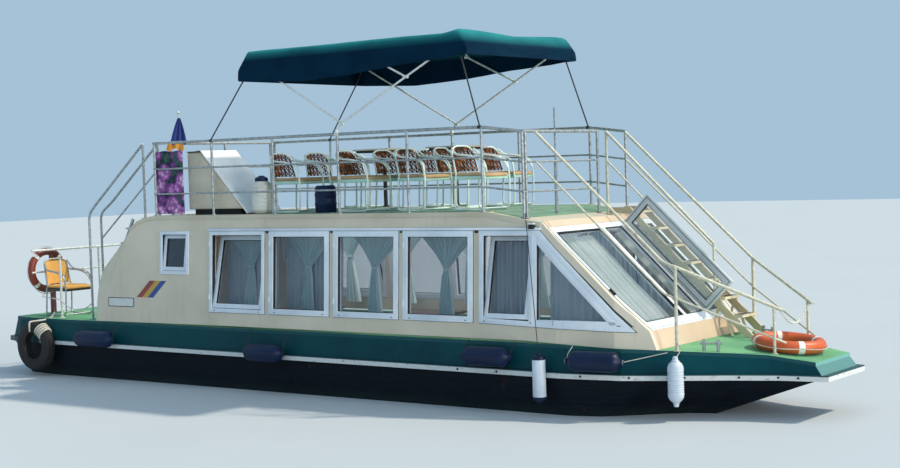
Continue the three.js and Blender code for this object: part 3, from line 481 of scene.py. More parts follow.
def painted(name, light, dark, roughness=0.5, metallic=0.0, blotch=2.5, deep=0.0006, stretch=(1, 1, 1),
            shine=0.5):
    finish, tree, shader = bare(name, light, roughness, metallic, shine)
    patches = noise(tree, coords(tree, stretch), blotch, 5.0)
    colourTo(tree, shader, mixed(tree, fade(tree, patches, 0.38, 0.68), light, dark))
    roughTo(tree, shader, patches, roughness - 0.08, roughness + 0.08)
    bump(tree, shader, noise(tree, coords(tree), 60, 3.0), 0.35, deep)
    return finish


def hullPaint():   # black, with scuffs along it, slime at the waterline and spots of rust
    finish, tree, shader = bare("hull_black_paint", "08111c", 0.6, shine=0.15)
    here = coords(tree)
    scuffs = noise(tree, coords(tree, (0.7, 0.7, 9)), 5, 6.0)
    patches = ramp(tree, noise(tree, here, 1.6), [(0.3, 0.35), (0.7, 1.0)])
    rust = noise(tree, coords(tree, (1.5, 1.5, 0.5)), 7, 8.0)
    slime = sums(tree, "MULTIPLY", band(tree, axisOf(tree, here, "Z"), 0.2, 0.46, 0.05), patches)
    base = mixed(tree, fade(tree, scuffs, 0.45, 0.75), "070f18", "141e28")
    base = mixed(tree, slime, base, "1d2a2a")
    colourTo(tree, shader, mixed(tree, fade(tree, rust, 0.66, 0.74, 0.8), base, "4a2a1c"))
    roughTo(tree, shader, scuffs, 0.45, 0.8)
    bump(tree, shader, scuffs, 0.5, 0.003)
    return finish


def topsidePaint():   # green, with streaks and chips; paler where it faces forward, which is painted sunlight on the bow's face
    finish, tree, shader = bare("topside_green_paint", "03474e", 0.45, shine=0.15)
    here = coords(tree)
    streaks = noise(tree, coords(tree, (6, 6, 0.5)), 3.5, 6.0)
    chips = noise(tree, here, 24, 8.0, 0.7)
    base = mixed(tree, fade(tree, noise(tree, here, 1.1), 0.35, 0.7), "03474e", "02363f")
    base = mixed(tree, fade(tree, streaks, 0.62, 0.78, 0.5), base, "164f55")
    # painted sunlight: faces that look forward, towards the sun, turn paler
    base = mixed(tree, fade(tree, facing(tree, "X"), 0.5, 0.85), base, "5e8c8b")
    colourTo(tree, shader, mixed(tree, fade(tree, chips, 0.7, 0.74, 0.7), base, "6d5a45"))
    roughTo(tree, shader, streaks, 0.35, 0.6)
    bump(tree, shader, noise(tree, here, 2.2, 3.0), 0.5, 0.012)
    return finish


def rubPaint():   # rusty white on the face, green above it and round the stern
    finish, tree, shader = bare("rub_rail_paint", "c4c4bb", 0.55)
    here = coords(tree)
    fore = axisOf(tree, here, "X")
    rust = fade(tree, noise(tree, coords(tree, (2, 2, 5)), 6, 9.0, 0.72), 0.56, 0.7, 0.9)
    sheer = sums(tree, "ADD", axisOf(tree, here, "Z"), sums(tree, "MULTIPLY", fore, 0.0028))
    face = sums(tree, "MULTIPLY", band(tree, fore, -5.4, 9, 0.05), band(tree, sheer, 0.0, 0.875, 0.003))
    colourTo(tree, shader, mixed(tree, face, "053c42", mixed(tree, rust, "d3d6d4", "6b4c3a")))
    roughTo(tree, shader, rust, 0.4, 0.85)
    bump(tree, shader, rust, 0.4, 0.0015)
    return finish


def creamPaint(name, light, dark):
    finish, tree, shader = bare(name, light, 0.5)
    here = coords(tree)
    streaks = noise(tree, coords(tree, (5, 5, 0.35)), 2.6, 7.0)
    specks = noise(tree, here, 30, 8.0, 0.7)
    base = mixed(tree, fade(tree, noise(tree, here, 0.8), 0.35, 0.7), light, dark)
    base = mixed(tree, fade(tree, streaks, 0.6, 0.85, 0.55), base, "a3967c")
    colourTo(tree, shader, mixed(tree, fade(tree, specks, 0.73, 0.77, 0.6), base, "8a6b4a"))
    roughTo(tree, shader, streaks, 0.42, 0.62)
    bump(tree, shader, noise(tree, here, 1.7, 3.0), 0.6, 0.006)
    return finish


def deckPaint():   # green and gritty on top; the edge has the topside's colours, with painted sunlight where it faces forward
    finish, tree, shader = bare("deck_green_paint", "78b583", 0.75)
    here = coords(tree)
    grit = noise(tree, here, 160, 2.0)
    base = mixed(tree, fade(tree, noise(tree, here, 1.4, 6.0), 0.35, 0.68), "78b583", "5a9a70")
    base = mixed(tree, fade(tree, noise(tree, here, 5, 8.0, 0.7), 0.56, 0.76, 0.6), base, "3f5a45")
    # painted sunlight: edge faces that look forward turn paler
    edge = mixed(tree, fade(tree, facing(tree, "X"), 0.5, 0.85), "044a50", "6fa9a2")
    colourTo(tree, shader, mixed(tree, fade(tree, facing(tree, "Z"), 0.4, 0.6), edge, base))
    roughTo(tree, shader, grit, 0.65, 0.9)
    bump(tree, shader, grit, 0.6, 0.0012)
    return finish


def plastic(name, light, dark, roughness):
    finish, tree, shader = bare(name, light, roughness)
    here = coords(tree)
    patches = noise(tree, here, 2.2, 5.0)
    grime = noise(tree, coords(tree, (3, 3, 0.6)), 6, 7.0)
    base = mixed(tree, fade(tree, patches, 0.4, 0.7), light, dark)
    colourTo(tree, shader, mixed(tree, fade(tree, grime, 0.6, 0.82, 0.4), base, "a9aaa2"))
    roughTo(tree, shader, patches, roughness - 0.08, roughness + 0.12)
    bump(tree, shader, noise(tree, here, 90, 2.0), 0.15, 0.0003)
    return finish


def paneGlass(name, code, film, alpha):
    finish, tree, shader = bare(name, code, 0.04)
    shader.inputs["Alpha"].default_value = alpha
    shader.inputs["Coat Weight"].default_value = 1.0
    shader.inputs["Coat Roughness"].default_value = 0.03
    haze = noise(tree, coords(tree, (2, 2, 1)), 1.7, 5.0)
    colourTo(tree, shader, mixed(tree, fade(tree, haze, 0.4, 0.75), code, film))
    roughTo(tree, shader, haze, 0.02, 0.09)
    finish.surface_render_method = "BLENDED"
    return finish


def galvanised(name, light, dark, metallic, roughness):
    finish, tree, shader = bare(name, light, roughness, metallic)
    here = coords(tree)
    flakes = noise(tree, here, 26, 3.0)
    stains = noise(tree, here, 4, 8.0, 0.7)
    base = mixed(tree, fade(tree, flakes, 0.35, 0.7), light, dark)
    colourTo(tree, shader, mixed(tree, fade(tree, stains, 0.6, 0.72, 0.8), base, "6b5644"))
    roughTo(tree, shader, flakes, roughness - 0.12, roughness + 0.18)
    bump(tree, shader, flakes, 0.25, 0.0006)
    return finish


def woven(name, light, dark, threads=900, roughness=0.9, sheen=0.1, depth=0.0008, alpha=1.0, shine=0.5):
    finish, tree, shader = bare(name, light, roughness, shine=shine)
    shader.inputs["Sheen Weight"].default_value = sheen
    shader.inputs["Alpha"].default_value = alpha
    here = coords(tree, (threads, threads, threads))
    waves = [sums(tree, "SINE", axisOf(tree, here, letter), 0.0) for letter in "XYZ"]
    weave = sums(tree, "MULTIPLY", waves[0], sums(tree, "ADD", waves[1], waves[2]))
    patches = noise(tree, coords(tree), 2.4, 6.0)
    colourTo(tree, shader, mixed(tree, fade(tree, patches, 0.36, 0.7), light, dark))
    roughTo(tree, shader, patches, roughness - 0.08, min(1.0, roughness + 0.1))
    bump(tree, shader, sums(tree, "ADD", weave, sums(tree, "MULTIPLY", patches, 3.0)), 0.35, depth)
    return finish


def paintSunlitTop(finish, code, height):   # paler above a height: painted sunlight on the upper part of the cloth, in patches
    tree = finish.node_tree
    shader = tree.nodes["Principled BSDF"]
    base = shader.inputs["Base Color"].links[0].from_socket
    here = coords(tree)
    sunPatches = ramp(tree, noise(tree, here, 1.5, 5.0), [(0.3, 0.6), (0.6, 1.0)])
    reach = sums(tree, "MULTIPLY", band(tree, axisOf(tree, here, "Z"), height, 9, 0.07), sunPatches)
    colourTo(tree, shader, mixed(tree, reach, base, code))
    return finish


def wicker():
    finish, tree, shader = bare("brown_wicker", "b8733f", 0.6)
    strands = noise(tree, coords(tree, (30, 30, 90)), 3, 2.0)
    base = mixed(tree, fade(tree, cells(tree, coords(tree), 16), 0.25, 0.6), "b8733f", "5a3822")
    colourTo(tree, shader, mixed(tree, fade(tree, strands, 0.45, 0.7, 0.6), base, "3a2718"))
    bump(tree, shader, strands, 0.6, 0.002)
    return finish


def flowerCloth():   # loose round blooms and leaves on dark cloth
    finish, tree, shader = bare("flower_banner_cloth", "2a2440", 0.8)
    here = coords(tree, (1, 1, 1.15))
    warp = tree.nodes.new("ShaderNodeTexNoise")
    warp.inputs["Scale"].default_value = 9
    tree.links.new(here, warp.inputs["Vector"])
    shift = tree.nodes.new("ShaderNodeMix")
    shift.data_type = "VECTOR"
    shift.inputs[0].default_value = 0.06
    tree.links.new(here, shift.inputs[4])
    tree.links.new(warp.outputs["Color"], shift.inputs[5])
    blooms = cells(tree, shift.outputs[1], 4.6, 0.7)
    petals = fade(tree, cells(tree, shift.outputs[1], 17), 0.32, 0.62, 0.75)
    rings = [(0.0, "fbe6f4"), (0.25, "eebde2"), (0.5, "cf86c6"), (0.63, "7f4289"), (0.72, "2e1c40")]
    flower = mixed(tree, petals, ramp(tree, blooms, rings), "5f2a70")
    leaves = mixed(tree, fade(tree, noise(tree, here, 14, 3.0), 0.48, 0.56), "1d2038", "2f5a4c")
    colourTo(tree, shader, mixed(tree, fade(tree, blooms, 0.64, 0.72), flower, leaves))
    bump(tree, shader, noise(tree, here, 240, 2.0), 0.2, 0.0004)
    return finish


finishes = {
    "hull": hullPaint(),
    "topside": topsidePaint(),
    "rub": rubPaint(),
    "cream": creamPaint("cabin_cream_paint", "dbd0bc", "c8bda6"),
    "front": creamPaint("front_panel_paint", "d5bda5", "c6ad92"),
    "roof": creamPaint("roof_cream_paint", "d3c9b2", "b9af96"),
    "deck": deckPaint(),
    "carpet": woven("green_carpet", "4f8f63", "3d7450", roughness=0.95, sheen=0.4, depth=0.002),
    "pvc": plastic("white_window_plastic", "e3eaf1", "ccd6df", 0.32),
    # the window plastic greyed for the open sash: painted shade
    "shadedSashPvc": plastic("grey_sash_plastic_painted_shade", "cfd4d3", "b3babb", 0.45),
    "seal": painted("black_seal_rubber", "16181a", "26292b", 0.6),
    "glass": paneGlass("window_glass", "2b4a60", "3f6076", 0.2),
    # the whitish green of this pane is a painted reflection of the sky
    "clearGlass": paneGlass("clear_glass", "e6efe6", "d3e2da", 0.2),
    "darkGlass": paneGlass("dark_glass", "12293a", "1b3447", 0.8),
    "steel": galvanised("galvanised_steel", "b9bebe", "878e90", 0.65, 0.42),
    "stairSteel": galvanised("stair_rail_paint", "d9d6c2", "b9b49c", 0.15, 0.5),
    "whitePipe": galvanised("white_pipe_paint", "e7e8e4", "c3c6c2", 0.1, 0.45),
    "beige": painted("beige_stair_paint", "d8ccae", "b8a784", 0.6),
    # the dark navy base matches the cloth in shade; the pale teal above 4.71 m is painted sunlight
    "canvas": paintSunlitTop(woven("green_canvas", "01293f", "012035", 700, 0.8, 0.0, 0.0012, shine=0.07),
                     "2a8a8c", 4.71),
    "webbing": woven("black_webbing", "1e2224", "2c3133", roughness=0.8),
    "sheer": woven("mint_sheer_curtain", "e4f6f6", "cbe6e9", sheen=0.3, depth=0.0004, alpha=0.88),
    "whiteSheer": woven("white_sheer_curtain", "eef6f2", "dbe8e3", sheen=0.3, depth=0.0004, alpha=0.95),
    "drape": woven("pale_sheer_drape", "dde6ec", "c6d2da", sheen=0.2, depth=0.0004, alpha=0.9),
    "greyDrape": woven("grey_sheer_drape", "c6cdd4", "b2bac3", sheen=0.2, depth=0.0004, alpha=0.88),
    "lattice": wicker(),
    "chairTube": painted("chair_tube_paint", "e6f1ea", "cbdcd3", 0.35),
    "apron": painted("pale_green_seat_rim", "b9dcc9", "9fc8b3", 0.4),
    "seatWeave": woven("tan_seat_weave", "c7a679", "a37c4e", 500, 0.7),
    "yellowWeave": woven("yellow_seat_weave", "eab55f", "d3943f", 500, 0.7),
    "darkTube": painted("dark_chair_tube", "2b2320", "433630", 0.4),
    "table": painted("cream_table_board", "e6dcc4", "cdbf9f", 0.4),
    "tableUnder": painted("dark_table_underside", "35302a", "48423a", 0.7),
    "navy": painted("navy_vinyl", "081a38", "0f2446", 0.42, shine=0.25),
    "white": painted("white_vinyl", "e9e8e2", "cfcdc2", 0.45),
    # a cooler, bluer copy of the white vinyl: painted sky-lit shade
    "fenderWhite": painted("white_fender_vinyl", "d6dee8", "b7c2ce", 0.45),
    "rubber": painted("tyre_rubber", "191919", "2c2a28", 0.8, deep=0.002),
    "orange": painted("orange_ring", "d2602c", "b84c22", 0.45),
    "maroonRing": painted("maroon_ring", "8c3a2c", "6d2a22", 0.45),
    "maroonPost": painted("maroon_post", "55242a", "6f3a3c", 0.6),
    "rope": woven("white_rope", "d9d6ca", "b7b2a2", 1500, depth=0.002),
    "wood": painted("varnished_wood", "7a5232", "5a3a22", 0.45, stretch=(0.6, 6, 6), blotch=6),
    "bronze": painted("bronze", "8d7440", "6d5a30", 0.35, 0.8),
    "engine": painted("engine_grey_paint", "4f565a", "3b4144", 0.55, 0.2),
    "console": painted("console_beige", "d3c9b4", "bcb29d", 0.55),
    "consoleFront": plastic("console_white", "f4f5f4", "e6e9ea", 0.35),
    "dark": painted("dark_gap", "191b1c", "232628", 0.8),
    "plate": painted("blank_plate", "dfe0dc", "c6c8c4", 0.4),
    "flowers": flowerCloth(),
    "flagBlue": woven("flag_blue_cloth", "27408f", "1c2f6e", roughness=0.8),
    "flagYellow": woven("flag_yellow_cloth", "e2a32b", "c47c1e", roughness=0.8),
    "stripeRed": painted("stripe_red", "a8453f", "8f3a38", 0.5),
    "stripeYellow": painted("stripe_yellow", "cba64a", "b08f40", 0.5),
    "stripeBlue": painted("stripe_blue", "34519a", "2a437f", 0.5),
}

# carried-over CAD nodes and what they are made of
carried = {
    "lower_hull": "hull", "topside_plating": "topside", "rub_rail": "rub", "deck": "deck",
    "cabin_side_starboard": "cream", "cabin_side_port": "cream", "cabin_aft_wall": "cream",
    "cabin_roof": "roof", "cabin_front_panel": "front", "bow_stairs": "beige", "aft_ladder": "steel",
    "roof_mast": "steel", "bow_bollard_starboard": "steel", "bow_bollard_port": "steel",
    "helm_screen": "consoleFront", "saloon_furniture": "wood", "engine_block": "engine",
    "propeller": "bronze", "rudder": "hull", "stern_post": "maroonPost",
}
for name, finish in carried.items():
    for slot in nodes[name].material_slots:
        slot.material = finishes[finish]
print("houseboat: finishes made")


# saloon windows

windows = {
    "sill": 1.38, "head": 2.447,
    "outer": 0.072,          # width of the fixed frame
    "face": (0.014, 0.066),  # how proud of the wall and how deep a fixed frame is
    "pane": (-0.024, 0.03),
    "sash": 0.058,           # width of an opening sash
    "tilt": 9.5,             # degrees that an open sash leans in at the top
    "row": [(-2.04, -1.045, True), (-0.964, 0.05, False), (0.123, 1.153, False), (1.222, 2.256, False)],
    "long": {"aft": 2.344, "mullion": (3.03, 3.14), "tip": 4.325, "drop": 0.055, "headTip": 3.175},
    "small": (-2.982, -2.431, 1.868, 2.447),
}


def tiltIn(piece, foot, degrees):   # leans a sash in about its bottom edge
    at = Vector((0, 0.01, foot))
    turn = Matrix.Translation(at) @ Matrix.Rotation(math.radians(-degrees), 4, "X") @ Matrix.Translation(-at)
    piece.data.transform(turn)
    return piece


def drainCaps(x0, x1, z):
    caps = []
    for share in (0.1, 0.9):
        x = x0 + (x1 - x0) * share
        caps.append(slab((x - 0.012, -0.0165, z + 0.02), (x + 0.012, -0.013, z + 0.029), 0.001))
    return caps


def dressBothSides(name, kinds, node, bends=()):   # lays the pieces on the wall and gives each its port twin
    for kind, parts, finish in kinds:
        near = layOnWall(bend(joinAs(f"{name}_{kind}_starboard", parts), bends))
        for piece, side in ((near, "starboard"), (toPort(near, f"{name}_{kind}_port"), "port")):
            smooth(piece, 30)
            dress(piece, finish, node=f"{node}_{side}" if finish == "pvc" else None)


def addWindows():
    low, high, wide, face = windows["sill"], windows["head"], windows["outer"], windows["face"]
    frames, seals, panes = [], [], []

    def openSash(x0, x1, z0, z1):
        corners = rect(x0, x1, z0, z1)
        bar = ringOf(corners, windows["sash"], 0.006, 0.05)
        seal = ringOf(corners, windows["sash"] + 0.006, -0.004, 0.03, 0)
        edge = ringOf(rect(x0, x1, z0, z1, -0.004), 0.012, -0.012, 0.035, 0)
        pane = boardOf(rect(x0, x1, z0, z1, 0.03), -0.02, 0.026, 0)
        for piece in (bar, seal, edge, pane):
            tiltIn(piece, z0, windows["tilt"])
        frames.append(bar)
        seals.extend([seal, edge])
        panes.append(pane)

    for x0, x1, opens in windows["row"]:
        corners = rect(x0, x1, low, high)
        if opens:
            frames.append(ringOf(corners, 0.052, *face))
            seals.append(ringOf(rect(x0, x1, low, high, 0.05), 0.006, 0.002, 0.05, 0))
            openSash(x0 + 0.056, x1 - 0.056, low + 0.056, high - 0.056)
        else:
            frames.append(ringOf(corners, wide, *face))
            frames.append(ringOf(rect(x0, x1, low, high, wide - 0.02), 0.018, 0.018, 0.0, 0.002))
            seals.append(ringOf(corners, wide + 0.007, 0.004, 0.03, 0))
            panes.append(boardOf(corners, *windows["pane"], 0))
        seals.extend(drainCaps(x0, x1, low))
        # a thin dark ring just outside the frame: painted shadow where the frame stands off the wall
        seals.append(ringOf(rect(x0, x1, low, high, -0.005), 0.007, 0.0025, 0.001, 0))
        for z in (low + 0.16, high - 0.2):
            frames.append(slab((x0 + 0.004, -0.024, z), (x0 + 0.016, -0.013, z + 0.07), 0.003))

    # the long window: an opening sash aft, a fixed pane that follows the windscreen's slope
    aft, tip, headTip, drop = [windows["long"][key] for key in ("aft", "tip", "headTip", "drop")]
    m0, m1 = windows["long"]["mullion"]
    outline = [(aft, low), (tip, low - drop), (headTip, high), (aft, high)]
    frames.append(ringOf(outline, 0.06, *face))
    slant = [(m1 - 0.01, high - 0.029), (tip - 0.152, low + 0.02), (tip - 0.267, low + 0.02),
             (m1 - 0.01, high - 0.142)]
    foot = [(m1 - 0.01, low + 0.03), (tip - 0.2, low), (tip - 0.2, low + 0.06), (m1 - 0.01, low + 0.06)]
    for corners in (slant, foot):
        frames.append(boardOf(corners, 0.0135, 0.04, 0.002))
    frames.append(slab((m0, -0.012, low + 0.02), (m1, 0.06, high - 0.02), 0.003))
    frames.append(slab((m0 + 0.05, -0.017, low + 0.01), (m0 + 0.056, 0.0, high - 0.01), 0.001))
    seals.append(slab((m0 - 0.006, -0.004, low + 0.05), (m1 + 0.007, 0.03, high - 0.05), 0.001))
    seals.append(ringOf(outline, 0.068, 0.003, 0.03, 0))
    fixed = [(m0, low), (tip - 0.03, low + 0.01), (headTip, high - 0.02), (m0, high - 0.02)]
    panes.append(boardOf(fixed, *windows["pane"], 0))
    openSash(aft + 0.056, m0 - 0.004, low + 0.056, high - 0.056)
    seals.extend(drainCaps(aft, m1, low))
    # the same thin dark ring round the long window: painted shadow
    rim = [(aft - 0.005, low - 0.005), (tip + 0.016, low - drop - 0.006), (headTip + 0.004, high + 0.003),
           (aft - 0.005, high + 0.003)]
    seals.append(ringOf(rim, 0.008, 0.0025, 0.001, 0))
    seals.append(slab((3.36, -0.0155, low + 0.002), (3.364, 0.0, low + 0.058), 0.0005))

    # gutter strip over the row, with the dark line under it
    frames.append(slab((-2.06, -0.024, high + 0.004), (headTip + 0.02, -0.001, high + 0.034), 0.004))
    seals.append(slab((-2.05, -0.004, high - 0.004), (headTip + 0.01, 0.004, high + 0.003), 0.001))
    # dark notches at the top of the narrow strips between the windows
    starts = [row[0] for row in windows["row"][1:]] + [aft]
    for (_, end, _), start in zip(windows["row"], starts):
        seals.append(slab((end + 0.02, -0.003, high - 0.03), (start - 0.02, 0.004, high - 0.004), 0.002))
    kinds = (("frames", frames, "pvc"), ("seals", seals, "seal"), ("panes", panes, "glass"))
    dressBothSides("window", kinds, "saloon_windows", (3.4, 4.1))

    x0, x1, z0, z1 = windows["small"]
    hinge = z0 + 0.048
    casing = ringOf(rect(x0, x1, z0, z1), 0.045, *face)
    bar = tiltIn(ringOf(rect(x0, x1, z0, z1, 0.048), 0.05, 0.008, 0.045), hinge, 5)
    ridge = ringOf(rect(x0, x1, z0, z1, 0.028), 0.012, 0.017, 0.0, 0.002)
    dark = ringOf(rect(x0, x1, z0, z1, 0.042), 0.007, 0.001, 0.06, 0)
    seal = tiltIn(ringOf(rect(x0, x1, z0, z1, 0.092), 0.008, -0.002, 0.02, 0), hinge, 5)
    pane = tiltIn(boardOf(rect(x0, x1, z0, z1, 0.07), -0.02, 0.026, 0), hinge, 5)
    kinds = (("frame", [casing, bar, ridge], "pvc"), ("seal", [dark, seal], "seal"),
             ("pane", [pane], "darkGlass"))
    dressBothSides("small_window", kinds, "aft_window")


addWindows()
print("houseboat: side windows made")


# windscreen, drawn flat as across the boat and up the slope

screen = {
    "head": Vector((3.19, 0, 2.535)),
    "down": Vector((0.72714, 0, -0.68649)),
    "out": Vector((0.68649, 0, 0.72714)),
    "long": 1.7446,
    # how far down, half width
    "sides": [(0.0, 1.163), (0.289, 1.174), (1.2515, 1.133), (1.712, 1.02), (1.7446, 1.011)],
    "knee": 1.2515,
    "deep": 0.058,           # of the frame
    "headHalf": 1.155,
    "footHalf": (1.01, 1.04),
    "sill": ((4.02, -0.03, 1.36), (4.28, 0.345, 1.385)),
    "headBar": 0.17, "footBar": 0.125, "sideBar": 0.075,
    "mullions": [(-0.104, -0.036), (0.351, 0.419)],
}
sash = {
    "start": 0.15, "long": 1.5, "wide": 0.474, "bar": 0.088, "open": 95.0,
    "hinge": (3.2106, 0.385, 2.55681),
}


def layOnScreen(piece):   # x across to port, -y out, z up the slope from the foot
    def reshape(p):
        down = screen["long"] - p.z
        at = screen["head"] + screen["down"] * down - screen["out"] * p.y
        return Vector((at.x, p.x, at.z))
    return place(piece, reshape)


def up(down):   # height up the slope of a place so far down from its head
    return screen["long"] - down


def sideStrips(side, outer, inner, proud, deep):   # boards along one side of the windscreen
    strips = []
    for (d0, h0), (d1, h1) in zip(screen["sides"], screen["sides"][1:]):
        corners = [(side * (h0 - outer), up(d0)), (side * (h1 - outer), up(d1)),
                   (side * (h1 - inner), up(d1)), (side * (h0 - inner), up(d0))]
        strips.append(boardOf(corners if side < 0 else corners[::-1], proud, deep, 0))
    return strips


def addWindscreen():
    long, bar, mullions = screen["long"], screen["sideBar"], screen["mullions"]
    top, foot = screen["headBar"], long - screen["footBar"]
    deep, head, (sill, over) = screen["deep"], screen["headHalf"], screen["footHalf"]
    frames, seals, panes = [], [], []
    for side, inner in ((-1, mullions[0][0]), (1, mullions[1][1])):
        frames.extend(sideStrips(side, 0, bar, 0.0, deep))
        downs = (foot, screen["knee"], top)
        edge = [(side * (along(screen["sides"], down) - bar), up(down)) for down in downs]
        corners = [(inner, up(foot)), *edge, (inner, up(top))]
        if side < 0:
            corners.reverse()
        seals.append(ringOf(corners, 0.01, 0.003, 0.03, 0))
        panes.append(boardOf(corners, -0.018, 0.024, 0))
    frames.append(boardOf(rect(-head, head, up(top), up(0.001)), 0.001, deep))
    frames.append(boardOf([(-sill, 0), (sill, 0), (over, up(foot)), (-over, up(foot))], 0.001, deep))
    for y0, y1 in mullions:
        frames.append(boardOf(rect(y0, y1, up(long - 0.1), up(0.15)), 0.002, deep))
    frames.append(boardOf(rect(-1.02, 1.02, up(long - 0.02), up(long - 0.045)), 0.012, 0.0, 0.002))
    trim = boardOf(rect(-1.163, 1.163, up(0.088), up(-0.012)), 0.008, -0.001, 0.002)
    dress(layOnScreen(joinAs("windscreen_head_trim", [trim])), "front")
    openBay = rect(mullions[0][1], mullions[1][0], up(foot), up(top))
    seals.append(ringOf(openBay, 0.008, 0.004, 0.012, 0))
    for side in (-1, 1):
        seals.extend(sideStrips(side, 0.001, 0.009, 0.002, 0.01))
    grip = [(-1.116, up(1.19)), (-1.092, up(1.19)), (-1.1, up(1.1)), (-1.124, up(1.1))]
    seals.append(boardOf(grip, 0.03, -0.002, 0.004))
    for kind, parts, finish, node in (("frame", frames, "pvc", "windscreen"), ("seals", seals, "seal", None),
                                      ("panes", panes, "glass", None)):
        piece = smooth(layOnScreen(joinAs(f"windscreen_{kind}", parts)), 30)
        dress(piece, finish, node=node)
    board = slab(*screen["sill"], 0.004)
    dress(joinAs("windscreen_sill_board", [board]), "wood")


def addOpenSash():   # made shut and then swung up about its hinge
    d0, d1 = sash["start"], sash["start"] + sash["long"]
    y0, y1 = sash["hinge"][1] - sash["wide"], sash["hinge"][1]
    outline = (y0, y1, up(d1), up(d0))
    frames = [ringOf(rect(*outline), sash["bar"], 0.05, -0.01),
              ringOf(rect(*outline, 0.012), 0.02, 0.0535, -0.045, 0.002),
              boardOf(rect(y0 + 0.025, y0 + 0.045, up(0.95), up(0.8)), 0.075, -0.05, 0.004)]
    seals = [ringOf(rect(*outline, sash["bar"] - 0.001), 0.004, 0.053, -0.007, 0),
             ringOf(rect(*outline, 0.022), 0.006, 0.0105, -0.0075, 0)]
    for share in (0.2, 0.8):
        at = d0 + sash["long"] * share
        plate = rect(y1 - 0.03, y1 + 0.012, up(at + 0.045), up(at - 0.045))
        seals.append(boardOf(plate, 0.042, -0.02, 0.003))
    pane = boardOf(rect(*outline, 0.06), 0.033, -0.027, 0)
    hinge = Vector(sash["hinge"])
    turn = Matrix.Rotation(math.radians(-sash["open"]), 4, screen["down"])
    for kind, parts, finish, node in (("frame", frames, "shadedSashPvc", "windscreen_sash"),
                                      ("seals", seals, "seal", None), ("pane", [pane], "clearGlass", None)):
        piece = layOnScreen(joinAs(f"open_sash_{kind}", parts))
        piece.data.transform(Matrix.Translation(hinge) @ turn @ Matrix.Translation(-hinge))
        dress(smooth(piece, 30), finish, body="sash", node=node)


addWindscreen()
addOpenSash()


# aft door, drawn flat as across the boat and up the aft slope

door = {
    "starboard": -0.294, "port": 0.324, "low": 0.096, "high": 1.394,
    "bar": 0.085,
    "foot": Vector((-4.292, 0, 1.19)),
    "up": Vector((0.48439, 0, 0.87485)),
    "out": Vector((-0.87485, 0, 0.48439)),
}


def layOnAft(piece):
    def reshape(p):
        at = door["foot"] + door["up"] * p.z - door["out"] * p.y
        return Vector((at.x, -p.x, at.z))
    return place(piece, reshape)


def addDoor():
    x0, x1, z0, z1 = -door["port"], -door["starboard"], door["low"], door["high"]
    split = z0 + 0.5         # the rail between the panel and the pane
    parts = {
        "frame": [ringOf(rect(x0, x1, z0, z1), door["bar"], -0.006, 0.05),
                  boardOf(rect(x0 + 0.07, x1 - 0.07, split - 0.04, split + 0.04), -0.007, 0.048),
                  boardOf(rect(x0 + 0.07, x1 - 0.07, z0 + 0.07, split), -0.02, 0.04)],
        "handle": [boardOf(rect(x1 - 0.062, x1 - 0.04, split + 0.11, split + 0.24), 0.006, 0.01, 0.003),
                   boardOf(rect(x1 - 0.058, x1 - 0.044, split + 0.13, split + 0.22), 0.034, -0.026, 0.003),
                   boardOf(rect(x1 - 0.056, x1 - 0.046, split + 0.17, split + 0.182), 0.03, 0.0, 0.002)],
        "seal": [ringOf(rect(x0 + 0.07, x1 - 0.07, split + 0.03, z1 - 0.07), 0.022, -0.012, 0.04, 0)],
        "pane": [boardOf(rect(x0 + 0.075, x1 - 0.075, split + 0.035, z1 - 0.075), -0.025, 0.031, 0)],
    }
    for kind, finish, node in (("frame", "pvc", "aft_door"), ("handle", "steel", None),
                               ("seal", "seal", None), ("pane", "darkGlass", None)):
        piece = smooth(layOnAft(joinAs(f"aft_door_{kind}", parts[kind])), 30)
        dress(piece, finish, body="door", node=node)
    casing = ringOf(rect(x0 - 0.05, x1 + 0.05, z0 - 0.045, z1 + 0.05), 0.04, 0.012, -0.002)
    dress(smooth(layOnAft(joinAs("aft_door_casing", [casing])), 30), "pvc")


addDoor()
print("houseboat: windscreen and door made")


# curtains behind the glass

curtain = {
    "in": 0.245,             # behind the outside of the wall
    "top": 2.425, "foot": 1.33, "knot": 1.97,
    "knotWide": 0.085, "footWide": 0.25, "folds": 9,
    # start, end, sway
    "rows": [(-1.99, -1.1, 0.03), (-0.93, 0.02, -0.06), (0.16, 1.12, -0.06), (1.26, 2.22, -0.05)],
    # name, start, end, share of the height at the fore end, how far behind the wall, on both sides
    "plain": [("drape", 3.2, 4.2, 0.0, 0.19, True), ("panel_fore", 2.38, 3.06, 1.0, 0.19, True),
              ("panel_aft", -2.0, -1.08, 1.0, 0.3, False), ("panel_middle", -0.94, 0.02, 1.0, 0.3, False)],
    "rail": (-2.05, 3.08), "hangers": (-2.04, 0.6, 3.06),
    "rings": (60, -1.98, 0.0845),    # how many, first, pitch
    "tiedLong": 1.1, "plainFoot": 1.4, "plainHead": 2.4,
    # behind the windscreen: name, from starboard, to port
    "screen": [("starboard", -0.99, -0.09), ("port", 0.45, 0.99)],
    "screenLong": 1.42, "screenFoot": 1.55, "screenIn": 0.16,
}


